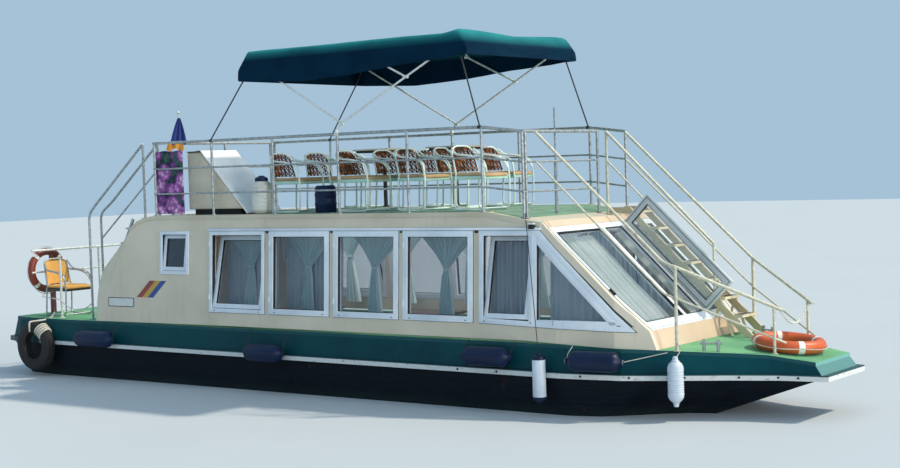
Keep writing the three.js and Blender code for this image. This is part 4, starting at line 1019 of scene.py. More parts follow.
def tiedCurtain(name, x0, x1, sway):
    middle, full = (x0 + x1) / 2 + sway, (x1 - x0)
    top, foot, knot = curtain["top"], curtain["foot"], curtain["knot"]

    def reshape(u, v):
        z = foot + (top - foot) * v
        if z > knot:
            share = (z - knot) / (top - knot)
            wide = curtain["knotWide"] + (full - curtain["knotWide"]) * share ** 1.25
            centre = middle - sway * share
        else:
            share = (knot - z) / (knot - foot)
            wide = curtain["knotWide"] + (curtain["footWide"] - curtain["knotWide"]) * share ** 0.8
            centre = middle
        ease = min(1.0, abs(z - knot) / 0.1)
        fold = math.sin(u * 2 * math.pi * curtain["folds"] + 1.7 * math.sin(v * 3 + x0))
        ripple = math.sin(u * 2 * math.pi * 3.3 + x0 * 2)
        depth = (0.007 + 0.016 * ease) * fold + 0.01 * ripple * ease
        droop = 0.02 * math.sin(u * math.pi * 5) * v ** 6
        x = centre + (u - 0.5) * wide
        return (x, -(wallHalf(x, z) - curtain["in"]) + depth, z - droop)
    cloth = clothOf(name, 84, 34, reshape)
    ring = [(0.034, -0.014), (0.042, -0.008), (0.044, 0.0), (0.042, 0.008), (0.034, 0.014), (0.034, -0.014)]
    tie = latheOf(name + "_tie", ring, (0, 0, 0), steps=20)
    at = Vector((middle, -(wallHalf(middle, knot) - curtain["in"]), knot))
    place(tie, lambda p: Vector((p.x * 1.1, p.y * 0.75, p.z + p.x * 0.12)) + at)
    return cloth, tie


def drape(name, x0, x1, low, high, foreEnd, behind):   # hangs in plain folds
    def reshape(u, v):
        x = x0 + (x1 - x0) * u
        top = low + (high - low) * (foreEnd + (1 - foreEnd) * (1 - u) ** 0.92)
        z = low + (top - low) * v
        depth = 0.018 * math.sin(u * 2 * math.pi * 11) + 0.008 * math.sin(u * 2 * math.pi * 4.2)
        return (x, -(wallHalf(x, z) - behind) + depth, z)
    return clothOf(name, 110, 16, reshape)


def curtainRail(side, sign):
    y, z = sign * (wallHalf(0, curtain["top"]) - curtain["in"]), curtain["top"] + 0.012
    runs = [(0.01, 0, [(x, y, z) for x in curtain["rail"]])]
    runs += [(0.007, 0, [(x, y, z), (x, y + sign * 0.14, z)]) for x in curtain["hangers"]]
    count, first, pitch = curtain["rings"]
    for i in range(count):
        x = first + i * pitch
        runs.append((0.0035, 0, [(x, y, z), (x, y, z - 0.024)]))
    tubes = tubesOf(f"curtain_rail_{side}", runs, 1)
    return dress(tubes, "whitePipe", node=f"curtains_{side}")


def addCurtains():
    rails = {"starboard": curtainRail("starboard", -1), "port": curtainRail("port", 1)}
    for i, (x0, x1, sway) in enumerate(curtain["rows"]):
        near = tiedCurtain(f"curtain_starboard_{i + 1}", x0, x1, sway)
        far = [toPort(piece, piece.name.replace("starboard", "port")) for piece in near]
        for side, (cloth, tie) in (("starboard", near), ("port", far)):
            dress(tie, "sheer")
            dress(cloth, "sheer")
            hem(cloth)
    low, high = curtain["plainFoot"], curtain["plainHead"]
    for name, x0, x1, foreEnd, behind, paired in curtain["plain"]:
        near = drape(f"{name}_starboard", x0, x1, low, high, foreEnd, behind)
        pair = [("starboard", near)]
        if paired:
            pair.append(("port", toPort(near, f"{name}_port")))
        for side, cloth in pair:
            dress(cloth, "drape" if name == "drape" else "greyDrape")
            hem(cloth)
    for name, y0, y1 in curtain["screen"]:
        def reshape(u, v, y0=y0, y1=y1):
            y = y0 + (y1 - y0) * u
            down = curtain["screenFoot"] - curtain["screenLong"] * v
            squeeze = 1 - 0.09 * math.sin(math.pi * min(1, v * 1.15)) ** 2
            y = (y0 + y1) / 2 + (y - (y0 + y1) / 2) * squeeze
            fold = 0.016 * math.sin(u * 2 * math.pi * 10) + 0.01 * math.sin(u * 17 + v * 3)
            inset = curtain["screenIn"] + fold
            at = screen["head"] + screen["down"] * down - screen["out"] * inset
            return (at.x, y, at.z)
        cloth = clothOf(f"windscreen_curtain_{name}", 90, 24, reshape)
        dress(cloth, "whiteSheer")
        hem(cloth)


addCurtains()
print("houseboat: curtains hung")


# rails of round tube

rails = {
    "nose": {"x": 2.932, "half": 1.165, "top": 3.573, "post": 0.06},
    "stairs": {"inner": 0.48, "outer": 0.96, "head": (3.06, 3.563), "foot": (4.471, 2.205), "low": 1.6},
    "bow": {"starboard": (2.984, [(4.59, 2.076), (4.732, 2.034)]), "port": (3.05, [(4.732, 2.004)]),
            "start": 3.557, "legX": 4.732, "post": (5.635, 0.441, 1.578), "end": (5.76, 0.369, 1.515)},
    "aft": {"x": -3.16, "middle": 0.25},
    "ladder": {"near": -1.143, "far": -0.87, "nearX": -4.526, "farX": -4.59, "postTop": 2.69,
               "bendX": -4.351, "bend": 2.84, "topX": -3.36, "farDrop": 0.345},
    "stern": {"x": -5.834, "half": 1.143, "top": 2.155, "mid": 1.834, "postX": -5.061, "wallX": -4.304,
              "nearPost": (-5.2, 1.19, 2.04), "line": 1.455, "aftPost": 0.13},
}


def sideRail(side):
    y, top, nose = side * boat["railHalf"], boat["railTop"], rails["nose"]
    runs = []
    for drop, radius in railDrops:
        runs.append((radius, 0.12, [(postPlaces[0] - 0.02, y, top - drop), (postPlaces[-1], y, top - drop),
                                    (nose["x"], side * nose["half"], nose["top"] - drop)]))
    for x in postPlaces:
        runs += standing(x, y, boat["roofTop"], top)
        runs += [sleeve(radius + 0.006, Vector((x, y, top - drop)), 0.02) for drop, radius in railDrops[1:]]
    runs += standing(nose["x"], side * nose["half"], along(roofLine, nose["x"]) + 0.003, nose["top"])
    return runs


def acrossRail(x, y0, y1, top):   # the three tubes of a roof rail across the boat
    return [(radius, 0, [(x, y0, top - drop), (x, y1, top - drop)]) for drop, radius in railDrops]


def ladderRail(y, postX, drops):
    ladder, top, foot = rails["ladder"], boat["railTop"], along(deckLine, postX)
    topX, postTop = ladder["topX"], ladder["postTop"]
    runs = [(boat["post"], 0.1, [(postX, y, foot), (postX, y, postTop), (ladder["bendX"], y, ladder["bend"]),
                                 (topX, y, top)])]
    for drop in drops:
        runs.append((boat["thin"], 0, [(postX, y, postTop - drop - 0.02), (topX, y, top - drop)]))
    runs += standing(topX, y, along(roofLine, topX) + 0.01, top)
    runs += [(0.042, 0, [(postX, y, foot), (postX, y, foot + 0.007)])]
    return runs


def bowRail(side, name):
    bow, y = rails["bow"], side * rails["stairs"]["outer"]
    post, end, leg, (start, knees) = bow["post"], bow["end"], bow["legX"], bow[name]
    runs = []
    for drop, radius in ((0, boat["thick"]), (0.34, boat["thin"])):
        line = [(start, y, bow["start"] - drop)] + [(x, y, z - drop) for x, z in knees]
        past = 0.62 if drop == 0 else 0.85
        tail = [a + (b - a) * past for a, b in zip(post, end)]
        line += [(post[0], side * post[1], post[2] - drop), (tail[0], side * tail[1], tail[2] - drop)]
        runs.append((radius, 0.07, line))
    runs += standing(leg, y, along(deckLine, leg), knees[-1][1], 0.02)
    runs += standing(post[0], side * post[1], along(deckLine, post[0]), post[2])
    return runs


def sternPort():
    stern = rails["stern"]
    y = stern["half"]
    runs = []
    for z, radius in ((stern["top"], boat["thick"]), (stern["mid"], boat["thin"])):
        end = stern["wallX"] + (z - boat["wallFoot"]) * boat["aftLean"]
        runs.append((radius, 0, [(stern["x"], y, z), (end, y, z)]))
    for x in (stern["x"], stern["postX"], rails["ladder"]["nearX"]):
        runs += standing(x, y, along(deckLine, x), stern["top"])
    return runs


def sternLine():   # the slack light line that guards the near side of the stern
    stern, end = rails["stern"], rails["ladder"]["nearX"]
    y, start, level = -stern["half"], stern["nearPost"][0], stern["line"]
    line = [(stern["x"] + 0.06, y + 0.48, stern["mid"]), (stern["x"] + 0.08, y + 0.1, level + 0.02),
            (start, y - 0.02, level)]
    for i in range(1, 9):
        share = i / 8
        sag = 0.5 * share * (1 - share) + 0.04 * share
        line.append((start + (end - start) * share, y - 0.02, level - sag))
    return line


def addRails():
    nose, stern, ladder, top = rails["nose"], rails["stern"], rails["ladder"], boat["railTop"]
    stairs, aftX = rails["stairs"], rails["aft"]["x"]
    inner, (headX, head), (footX, foot) = stairs["inner"], stairs["head"], stairs["foot"]
    front = acrossRail(nose["x"], -nose["half"], inner + 0.015, nose["top"])
    for y in (-nose["half"] + nose["post"], inner):
        front += standing(nose["x"], y, along(roofLine, nose["x"]) + 0.003, nose["top"])
    aftStart = ladder["far"] + 0.06
    aft = acrossRail(aftX, aftStart, boat["railHalf"], top)
    for y in (aftStart, rails["aft"]["middle"], boat["railHalf"]):
        aft += standing(aftX, y, along(roofLine, aftX) + 0.002, top)
    across = [(radius, 0, [(stern["x"], -stern["half"], z), (stern["x"], stern["half"], z)])
              for z, radius in ((stern["top"], boat["thick"]), (stern["mid"], boat["thin"]))]
    across += standing(stern["x"], stern["aftPost"], along(deckLine, stern["x"]), stern["top"])
    stair = [(radius, 0, [(headX, inner, head - drop), (footX, inner, foot - drop)])
             for drop, radius in railDrops[:2]]
    stair += standing(headX, inner, along(roofLine, headX) + 0.004, head + 0.004)
    stair += [(boat["post"], 0, [(footX, inner, stairs["low"]), (footX, inner, foot)])]
    nearX, nearFoot, nearTop = stern["nearPost"]
    sets = {
        "roof_rail_starboard": ("steel", sideRail(-1)),
        "roof_rail_port": ("steel", sideRail(1)),
        "ladder_rail_far": ("steel", ladderRail(ladder["far"], ladder["farX"], (ladder["farDrop"],))),
        "bow_rail_starboard": ("stairSteel", bowRail(-1, "starboard")),
        "bow_rail_port": ("stairSteel", bowRail(1, "port")),
        "stern_rail_starboard": ("whitePipe", standing(nearX, -stern["half"], nearFoot, nearTop)),
        "stern_rail_port": ("whitePipe", sternPort()),
        "roof_rail_front": ("steel", front),
        "roof_rail_aft": ("steel", aft),
        "stern_rail_aft": ("whitePipe", across),
        "stair_rail": ("stairSteel", stair),
    }
    near = ladderRail(ladder["near"], ladder["nearX"], ())
    dress(tubesOf("ladder_rail_near_tubes", near), "steel")
    dress(tubesOf("stern_guard_line", [(0.008, 0, sternLine())], 1), "rope")
    for node, (finish, runs) in sets.items():
        dress(tubesOf(f"{node}_tubes", runs), finish, node=node)


addRails()
print("houseboat: rails bent")


# stair details: dark grips on the treads and the forked leg near the foot

stair = {
    "slope": 0.9613, "topX": 3.349, "topZ": 2.661, "sides": (0.51, 0.92), "first": 2.6, "rise": 0.205,
    "treads": 7,
    "legs": (0.523, 0.907), "fork": (4.52, 1.56), "feet": [(4.66, 1.128), (4.42, 1.2)],
}


def addStairDetails():
    grips = []
    for i in range(stair["treads"]):
        z = stair["first"] - i * stair["rise"]
        x = stair["topX"] + (stair["topZ"] - z) / stair["slope"] - 0.03
        for shift in (0.02, 0.06, 0.1):
            grips.append(slab((x + shift - 0.008, stair["sides"][0] + 0.05, z - 0.001),
                              (x + shift + 0.008, stair["sides"][1] - 0.05, z + 0.004), 0.0015))
    dress(joinAs("stair_tread_grips", grips), "dark")
    forkX, forkZ = stair["fork"]
    forks = []
    for y in stair["legs"]:
        forks += [(0.016, 0, [(forkX, y, forkZ), (x, y, z)]) for x, z in stair["feet"]]
    dress(tubesOf("stair_forked_legs", forks, 1), "beige")


addStairDetails()


# canopy cloth over its hoops

canopy = {
    "line": [(-1.441, 4.6, 4.395), (-1.291, 4.785, 4.383), (-0.375, 4.795, 4.335), (0.45, 4.8, 4.372),
             (1.234, 4.8, 4.443), (1.833, 4.785, 4.475), (2.06, 4.82, 4.5), (2.101, 4.815, 4.5),
             (2.215, 4.66, 4.502)],       # x, height of the top, height of the hem
    "half": 1.2,
    "long": 3.9,             # of the cloth along the boat, with its two ends
    "seams": (-1.291, -0.375, 0.54, 1.29, 2.04),
    "hoops": (-1.262, 0.54, 2.04),
    "sag": 0.014,            # between the outer hoops, a little less between each pair
    "dip": 0.05,             # of the fore hoop at the middle
    "arch": [(1.0, 0.1), (0.995, 0.07), (0.983, 0.046), (0.965, 0.028), (0.94, 0.014), (0.8, 0.006),
             (0.6, 0.003), (0.3, 0.0), (0.0, 0.0)],       # share of the half width, drop
    "dropRows": 9,
}


def canopyAt(x):
    top = along([(a, b) for a, b, _ in canopy["line"]], x)
    low = along([(a, c) for a, _, c in canopy["line"]], x)
    hoops = canopy["hoops"]
    for a, b, share in ((hoops[0], hoops[2], 1.0), (hoops[0], hoops[1], 0.3), (hoops[1], hoops[2], 0.3)):
        if a < x < b:
            top -= share * canopy["sag"] * math.sin(math.pi * (x - a) / (b - a)) ** 2
    return top, low


def canopyRibs():   # the section from the starboard hem to the port one: side, share up or across, drop
    count, arch = canopy["dropRows"], canopy["arch"]
    arch = [(-share, drop) for share, drop in arch] + arch[::-1][1:]
    rows = [(-1, i / count, None) for i in range(count)]
    for (s0, d0), (s1, d1) in zip(arch, arch[1:]):
        parts = 4 if abs(s1 - s0) > 0.1 else 1
        rows += [(0, s0 + (s1 - s0) * k / parts, d0 + (d1 - d0) * k / parts) for k in range(parts)]
    rows.append((0, *arch[-1]))
    rows += [(1, 1 - (i + 1) / count, None) for i in range(count)]
    return rows


def canopyPoint(x, rib):
    top, low = canopyAt(x)
    half, (side, share, drop) = canopy["half"], rib
    if side:
        z = low + (top - 0.1 - low) * share
        loose = (1 - share) ** 1.3
        flutter = 0.012 * math.sin(x * 9.0 + side) + 0.007 * math.sin(x * 23.0 + 2 * side)
        return (x, side * (half - 0.004) - side * 0.012 * loose + flutter * loose * 0.7, z)
    ripple = 0.004 * math.sin(x * 14 + share * 4) * (1 - share * share)
    dip = canopy["dip"] * (1 - abs(share)) * min(1, max(0, x - 1.0))
    return (x, share * half, top - drop + ripple - dip - 0.002)


def pickRow(rows, share):
    return rows[min(len(rows) - 1, round(share * (len(rows) - 1)))]


def addCanopy():
    ribs, rows, half = canopyRibs(), canopy["dropRows"], canopy["half"]
    tops = [rib for rib in ribs if rib[0] == 0]
    x0, x1 = canopy["line"][0][0], canopy["line"][-1][0]

    def reshape(u, v):
        return canopyPoint(x0 + (x1 - x0) * u, pickRow(ribs, v))
    parts = [clothOf("canopy_cloth", 74, len(ribs) - 1, reshape)]
    for x in (x0, x1):
        def panel(u, v, x=x, low=canopyAt(x)[1]):
            point = canopyPoint(x, pickRow(tops, u))
            lean = 0.012 * math.sin(point[1] * 7) * v * (1 - v) * 4
            return (point[0] + lean * (1 - v), point[1], low + (point[2] - low) * v)
        parts.append(clothOf("canopy_end", len(tops) - 1, 8, panel))
    cloth = joinAs("canopy_cloth", parts)
    recalc(cloth, 0.003)
    seams = [(0.0035, 0, [canopyPoint(x, rib) for rib in ribs]) for x in canopy["seams"]]
    steps = [x0 + (x1 - x0) * i / 60 for i in range(61)]
    for radius, rib in ((0.0065, ribs[0]), (0.0065, ribs[-1]), (0.004, ribs[rows]), (0.004, ribs[-rows - 1])):
        seams.append((radius, 0, [canopyPoint(x, rib) for x in steps]))
    for x in (x0, x1):
        low = canopyAt(x)[1]
        seams.append((0.0065, 0, [(x, -half + 0.01, low), (x, half - 0.01, low)]))
    welts = dress(tubesOf("canopy_seams", seams, 1), "canvas")
    dress(cloth, "canvas", node="canopy_top")
    hem(cloth, 0.003)


frameTube = {
    "radius": 0.013, "half": 1.14,
    "heights": (4.752, 4.77, 4.786),
    "clamp": (0.206, 3.678), "foot": (0.29, 3.775),
}


def addCanopyFrame():
    radius, half, rail = frameTube["radius"], frameTube["half"], boat["railTop"]
    runs, straps = [], []
    for x, z in zip(canopy["hoops"], frameTube["heights"]):
        z -= 0.012
        crown = z - 0.01 - canopy["dip"] * min(1, max(0, x - 1.0))
        near = [(x, -half, z - 0.1), (x, -half + 0.02, z - 0.03), (x, -half + 0.11, z - 0.012)]
        far = [(x, -y, height) for _, y, height in near[::-1]]
        runs.append((radius, 0.16, [*near, (x, 0, crown), *far]))
    for side in (-1, 1):
        y = side * boat["railHalf"]
        foot = Vector((frameTube["foot"][0], y, frameTube["foot"][1]))
        base = Vector((frameTube["clamp"][0], y, frameTube["clamp"][1]))
        heads = [Vector((x, side * half, z - 0.11)) for x, z in zip(canopy["hoops"], frameTube["heights"])]
        share = foot.lerp(heads[2], 0.57)
        for start, end in ((foot, heads[0]), (foot, heads[2]), (base, foot), (share, heads[1])):
            runs.append((radius, 0, [start, end]))
        runs += [sleeve(radius + 0.008, knuckle, 0.03) for knuckle in (foot, share, *heads)]
        runs.append((radius + 0.012, 0, [(base.x, y, rail + 0.01), (base.x, y, base.z + 0.02)]))
        runs.append(sleeve(boat["thick"] + 0.007, Vector((base.x, y, rail)), 0.03))
        corner = Vector((-1.396, side * (canopy["half"] - 0.06), 4.415))
        tie = Vector((postPlaces[-1] - 0.02, y, rail + 0.018))
        tieAft = Vector((postPlaces[1], y, rail + 0.018))
        for start, end in ((heads[2], tie), (heads[0], corner), (corner, tieAft)):
            straps.append((0.009, 0, [start, end]))
        straps += [sleeve(boat["thick"] + 0.005, Vector((knot.x, y, rail)), 0.02) for knot in (tie, tieAft)]
    dress(tubesOf("canopy_tubes", runs), "whitePipe", node="canopy_frame")
    dress(tubesOf("canopy_straps", straps, 1), "webbing")


addCanopyFrame()
addCanopy()
print("houseboat: canopy stretched")


# cafe chairs, one modelled at the origin facing the bow

chair = {
    "half": 0.245, "seat": 0.44, "apron": (0.368, 0.414), "back": 0.785, "tube": 0.0115,
    "sternBack": 0.845, "sternPlace": (-5.43, -0.82, 1.193),
    # x, y, turn in degrees
    "places": [(-0.85, -0.79, 3), (-0.82, -0.16, -5), (0.27, -0.79, 4), (0.36, -0.16, 0), (1.22, -0.79, -4),
               (1.33, -0.16, 6), (2.08, -0.79, -2), (-0.9, 0.7, 2), (0.4, 0.7, -6), (1.45, 0.7, 4)],
}


def chairFrame(top):
    h, tube = chair["half"], chair["tube"]
    runs = []
    for side in (-1, 1):
        y = side * h
        runs.append((tube, 0.07, [(-0.2, y * 0.94, 0.42), (-0.225, y * 0.96, 0.014), (0.225, y, 0.014),
                                  (0.24, y, 0.4), (0.205, y, 0.6), (0.02, y * 1.06, 0.655), (-0.18, y, 0.67),
                                  (-0.265, y * 0.84, top - 0.04)]))
        runs.append((tube, 0.05, [(0.222, y * 0.98, 0.5), (0.185, y * 0.84, 0.598), (0.02, y * 0.88, 0.65),
                                  (-0.18, y * 0.84, 0.668), (-0.262, y * 0.8, 0.69)]))
        for x, z in ((0.12, 0.625), (-0.1, 0.662)):
            runs.append((tube * 0.7, 0, [(x, y * 0.86, z), (x, y * 1.03, z)]))
    far = [(-0.2, h * 0.9, 0.42), (-0.275, h * 0.84, top - 0.06), (-0.29, h * 0.45, top - 0.012)]
    runs.append((tube, 0.1, [(x, -y, z) for x, y, z in far] + far[::-1]))
    for x, z in ((-0.2, 0.41), (0.225, 0.41), (-0.225, 0.03), (0.2, 0.03)):
        runs.append((tube * 0.85, 0, [(x, -h * 0.97, z), (x, h * 0.97, z)]))
    return tubesOf("chair_frame", runs, 1)


def chairBack(top, solid):   # bowed to the sitter; an open lattice of strands or a close weave
    h = chair["half"] * 0.86

    def reshape(u, v):
        y = (u - 0.5) * 2 * h * (1 - 0.1 * v)
        z = 0.47 + (top - 0.05 - 0.47) * v
        crown = 0.03 * (1 - (2 * u - 1) ** 2) * v
        return (-0.205 - 0.075 * v - 0.035 * (1 - (2 * u - 1) ** 2), y, z + crown)
    if solid:
        back = clothOf("chair_back", 14, 12, reshape)
        return smooth(finishWith(back, "SOLIDIFY", thickness=0.014, offset=0), 60)
    lattice = clothOf("chair_back", 6, 4, reshape)
    edit(lattice)
    bpy.ops.mesh.poke()
    done()
    return finishWith(lattice, "WIREFRAME", thickness=0.023, use_even_offset=False)


def chairSeat():
    seat = slab((-0.215, -0.222, chair["seat"] - 0.022), (0.24, 0.222, chair["seat"] + 0.016), 0.014)
    edit(seat)
    bpy.ops.mesh.subdivide(number_cuts=3)
    done()

    def dish(p):
        inside = max(0, 1 - (p.x / 0.23) ** 2) * max(0, 1 - (p.y / 0.23) ** 2)
        roll = 0.02 * max(0, (p.x - 0.15) / 0.085) ** 2
        return Vector((p.x, p.y, p.z - 0.018 * inside - roll))
    return smooth(place(seat, dish), 60)


def chairApron():   # the rim of the seat pan
    return slab((-0.222, -0.232, chair["apron"][0]), (0.23, 0.232, chair["apron"][1]), 0.01)


def buildChair(name, top, solid, tube, back, seat, apron):
    parts = []
    for part, finish in ((chairFrame(top), tube), (chairBack(top, solid), back), (chairSeat(), seat),
                         (chairApron(), apron)):
        part.data.materials.clear()
        part.data.materials.append(finishes[finish])
        parts.append(part)
    return joinAs(name, parts)


def addChairs():
    first = buildChair("roof_chair", chair["back"], False, "chairTube", "lattice", "seatWeave", "apron")
    for i, (x, y, turn) in enumerate(chair["places"]):
        twin = copyOf(first, (x, y, boat["roofTop"] + 0.006), math.radians(turn))
        twin.name = twin.data.name = f"roof_chair_{i + 1}"
        dress(twin, None)
    bpy.data.objects.remove(first)
    weave = "yellowWeave"
    sternSeat = buildChair("stern_chair_woven", chair["sternBack"], True, "steel", weave, weave, "darkTube")
    sternSeat.data.transform(Matrix.Translation(chair["sternPlace"]))
    dress(sternSeat, None, node="stern_chair")


addChairs()


# carpet, tables, drum and stowed fender on the roof

roof = {
    "carpet": (-1.16, 2.44, 1.13),                          # from x, to x, half width
    "tables": [(-0.26, 0.3, 0.3), (0.86, 0.38, 0.28)],      # x, y, half size
    "tableTop": 3.465,
    "drum": (-0.25, -0.93, 0.142, 0.35),                    # x, y, radius, height
    "fender": (-1.3, -0.985, 0.138, 0.5),
}


def addCarpet():
    x0, x1, half = roof["carpet"]
    floor = boat["roofTop"]
    carpet = slab((x0, -half, floor - 0.001), (x1, half, floor + 0.006), 0.002)
    edit(carpet)
    bpy.ops.mesh.subdivide(number_cuts=5)
    done()
    place(carpet, lambda p: Vector((p.x, p.y, p.z + 0.0012 * math.sin(p.x * 5) * math.sin(p.y * 6))))
    fringe = slab((x1 + 0.04, -half, floor - 0.002), (x1 + 0.46, half * 0.98, floor + 0.004), 0.001)
    place(fringe, lambda p: Vector((p.x, p.y, p.z + along(roofLine, p.x) - floor + 0.001)))
    dress(joinAs("roof_carpet", [carpet, fringe]), "carpet", node="roof_seats")


def addTables():
    z, leg = roof["tableTop"], [(0, 0.007), (0.19, 0.007), (0.19, 0.014), (0.05, 0.028), (0.026, 0.06),
                                (0.026, 0.74), (0.09, 0.76), (0, 0.76)]
    tops, unders = [], []
    for x, y, half in roof["tables"]:
        tops.append(slab((x - half, y - half, z - 0.022), (x + half, y + half, z), 0.008))
        under = half - 0.03
        unders.append(slab((x - under, y - under, z - 0.05), (x + under, y + under, z - 0.023), 0.006))
        unders.append(latheOf("table_leg", leg, (x, y, boat["roofTop"])))
    dress(joinAs("roof_table_tops", tops), "table")
    dress(smooth(joinAs("roof_table_legs", unders)), "tableUnder")


def addDrum():
    x, y, r, high = roof["drum"]
    profile = [(0, 0.006), (r * 0.9, 0.006), (r * 0.96, 0.02)]
    for share in (0.3, 0.62):      # two hoops
        profile += [(r * 0.96, high * share), (r, high * (share + 0.02)), (r, high * (share + 0.06)),
                    (r * 0.96, high * (share + 0.08))]
    profile += [(r * 0.94, high - 0.03), (r * 0.8, high), (r * 0.72, high), (r * 0.7, high - 0.015),
                (0, high - 0.015)]
    dress(latheOf("roof_drum_blue", profile, (x, y, boat["roofTop"])), "navy")


def addStowedFender():
    x, y, r, high = roof["fender"]
    at = (x, y, boat["roofTop"])
    profile = [(0, 0.0), (r * 0.6, 0.004), (r * 0.9, 0.03)]
    for i in range(9):
        z = 0.05 + i * (high - 0.17) / 9
        profile += [(r * 0.95, z), (r, z + 0.008), (r, z + 0.022), (r * 0.95, z + 0.03)]
    profile += [(r * 0.9, high - 0.11), (r * 0.62, high - 0.07), (0, high - 0.07)]
    dress(latheOf("roof_fender_white", profile, at), "white", node="roof_fender")
    cap = [(0, high - 0.075), (r * 0.66, high - 0.08), (r * 0.6, high - 0.03), (0.045, high - 0.012),
           (0.03, high), (0, high)]
    dress(latheOf("roof_fender_cap", cap, at), "navy")


addCarpet()
addTables()
addDrum()
addStowedFender()
print("houseboat: roof furnished")


# helm on the roof

helm = {
    "aft": -2.537, "topFore": -2.29, "footFore": -1.456,
    "near": -1.11, "far": -0.43,
    "top": 3.513, "gap": 0.075,
    "wheel": (-2.657, -0.77, 3.33, 0.19),    # x, y, z, radius
}


def addHelm():
    floor, top, aft, near, far = boat["roofTop"], helm["top"], helm["aft"], helm["near"], helm["far"]
    low = floor + helm["gap"]

    def foreAt(z):
        return helm["topFore"] + (top - z) * (helm["footFore"] - helm["topFore"]) / (top - floor)
    outline = [(aft, low), (foreAt(low), low), (helm["topFore"], top - 0.012), (aft, top - 0.012)]
    inner = [(aft + 0.012, low + 0.012), (foreAt(low) - 0.03, low + 0.012),
             (helm["topFore"] - 0.012, top - 0.03), (aft + 0.012, top - 0.03)]
    parts = [boardOf(outline, -near - 0.012, far - 0.012, 0.01)]
    parts += [boardOf(inner, -y, y + 0.012, 0.004) for y in (near, far - 0.012)]
    dress(smooth(joinAs("helm_body", parts)), "console", node="helm_console")
    foot = [(aft + 0.06, floor + 0.001), (foreAt(floor) - 0.14, floor + 0.001),
            (foreAt(low) - 0.14, low + 0.01), (aft + 0.06, low + 0.01)]
    plinth = boardOf(foot, -near - 0.06, far - 0.06, 0.006)
    lip = slab((aft, near, top - 0.012), (helm["topFore"] + 0.01, far, top), 0.003)
    dress(joinAs("helm_plinth", [plinth, lip]), "dark")
    x, y, z, r = helm["wheel"]
    turns = [i * math.pi / 5 for i in range(11)]
    ring = [(r + 0.012 * math.cos(a), 0.012 * math.sin(a)) for a in turns]
    rim = latheOf("helm_rim", ring, (x, y, z), (1, 0, 0), 40)
    spokes = []
    for i in range(3):
        a = math.radians(120 * i)
        spokes.append((0.009, 0, [(x, y, z), (x, y + r * math.sin(a), z + r * math.cos(a))]))
    spokes.append((0.03, 0, [(x - 0.02, y, z), (x + 0.02, y, z)]))
    spokes.append((0.02, 0, [(x + 0.02, y, z), (aft - 0.006, y, z)]))
    dress(rim, "wood", body="helm", node="helm_wheel")
    dress(tubesOf("helm_spokes", spokes), "steel", body="helm")


addHelm()


# cloth on the aft rails: the flower banner and the flag

banner = {"x": (-3.11, -2.545), "y": -1.179, "z": (2.68, 3.53), "railY": -1.19}
flag = {
    "x": -3.04, "y": -0.76, "top": 4.07,
    "across": Vector((-0.42, -0.9, 0)), "out": Vector((0.9, -0.42, 0)),
    # name, finish, top, foot, width at the top and the foot, shift
    "cloths": [("flag_upper", "flagBlue", 3.99, 3.64, 0.03, 0.24, 0.0),
               ("flag_lower", "flagYellow", 3.652, 3.555, 0.2, 0.26, 0.05)],
}


def addBanner():
    (x0, x1), (z0, z1) = banner["x"], banner["z"]

    def reshape(u, v):
        sag = 0.006 * math.sin(u * math.pi * 4) * v ** 3
        y = banner["y"] + 0.006 * math.sin(u * 9 + v * 2) * math.sin(v * 3.1)
        return (x0 + (x1 - x0) * u, y, z0 + (z1 - z0) * v - sag)
    cloth = clothOf("flower_banner", 24, 30, reshape)
    ties = []
    for x in (x0 + 0.02, x1 - 0.02):
        ties.append((0.003, 0, [(x, banner["y"], z1 - 0.02), (x, banner["railY"], boat["railTop"] + 0.012)]))
    laces = dress(tubesOf("banner_ties", ties, 1), "rope")
    dress(cloth, "flowers", node="rail_banner")
    hem(cloth)


def addFlag():
    x, y, top, floor = flag["x"], flag["y"], flag["top"], boat["roofTop"]
    runs = [(0.01, 0, [(x, y, floor), (x, y, top)]), (0.024, 0, [(x, y, floor), (x, y, floor + 0.12)])]
    staff = dress(tubesOf("flag_staff_pole", runs), "whitePipe", node="flag_staff")
    profile = [(0, -0.02), (0.012, -0.018), (0.024, 0.0), (0.018, 0.016), (0.006, 0.026), (0, 0.03)]
    dress(latheOf("flag_staff_knob", profile, (x, y, top - 0.006)), "white")
    for name, finish, z1, z0, narrow, wide, shift in flag["cloths"]:
        def reshape(u, v, z0=z0, z1=z1, narrow=narrow, wide=wide, shift=shift):
            fall = 1 - v
            spread = narrow + (wide - narrow) * fall ** 0.8
            fold = 0.018 * math.sin(u * 2 * math.pi * 2.6 + 2 * v) * (0.3 + 0.7 * fall)
            droop = 0.02 * math.sin(u * math.pi * 3) * fall
            at = Vector((x, y, z0 + (z1 - z0) * v - droop))
            return at + flag["across"] * ((u - 0.42) * spread + shift) + flag["out"] * (0.034 + fold)
        cloth = clothOf(name, 30, 18, reshape)
        dress(cloth, finish)
        hem(cloth)


addBanner()
addFlag()
print("houseboat: helm and flags made")


# fenders, tyre and their ropes

fenders = {
    # name, x, height, length, radius
    "lying": [("a", -4.116, 0.961, 0.792, 0.112), ("b", -0.873, 0.909, 0.677, 0.112),
              ("c", 2.551, 1.018, 0.692, 0.112), ("d", 3.946, 1.018, 0.687, 0.112)],
    # name, x, foot, top, radius
    "hanging": [("e", 3.282, 0.544, 1.083, 0.075), ("f", 4.8, 0.545, 1.08, 0.088)],
    "rubWide": 0.064,
}


def rubTurn(x):
    return math.atan2(along(rubPlan, x - 0.1) - along(rubPlan, x + 0.1), 0.2)


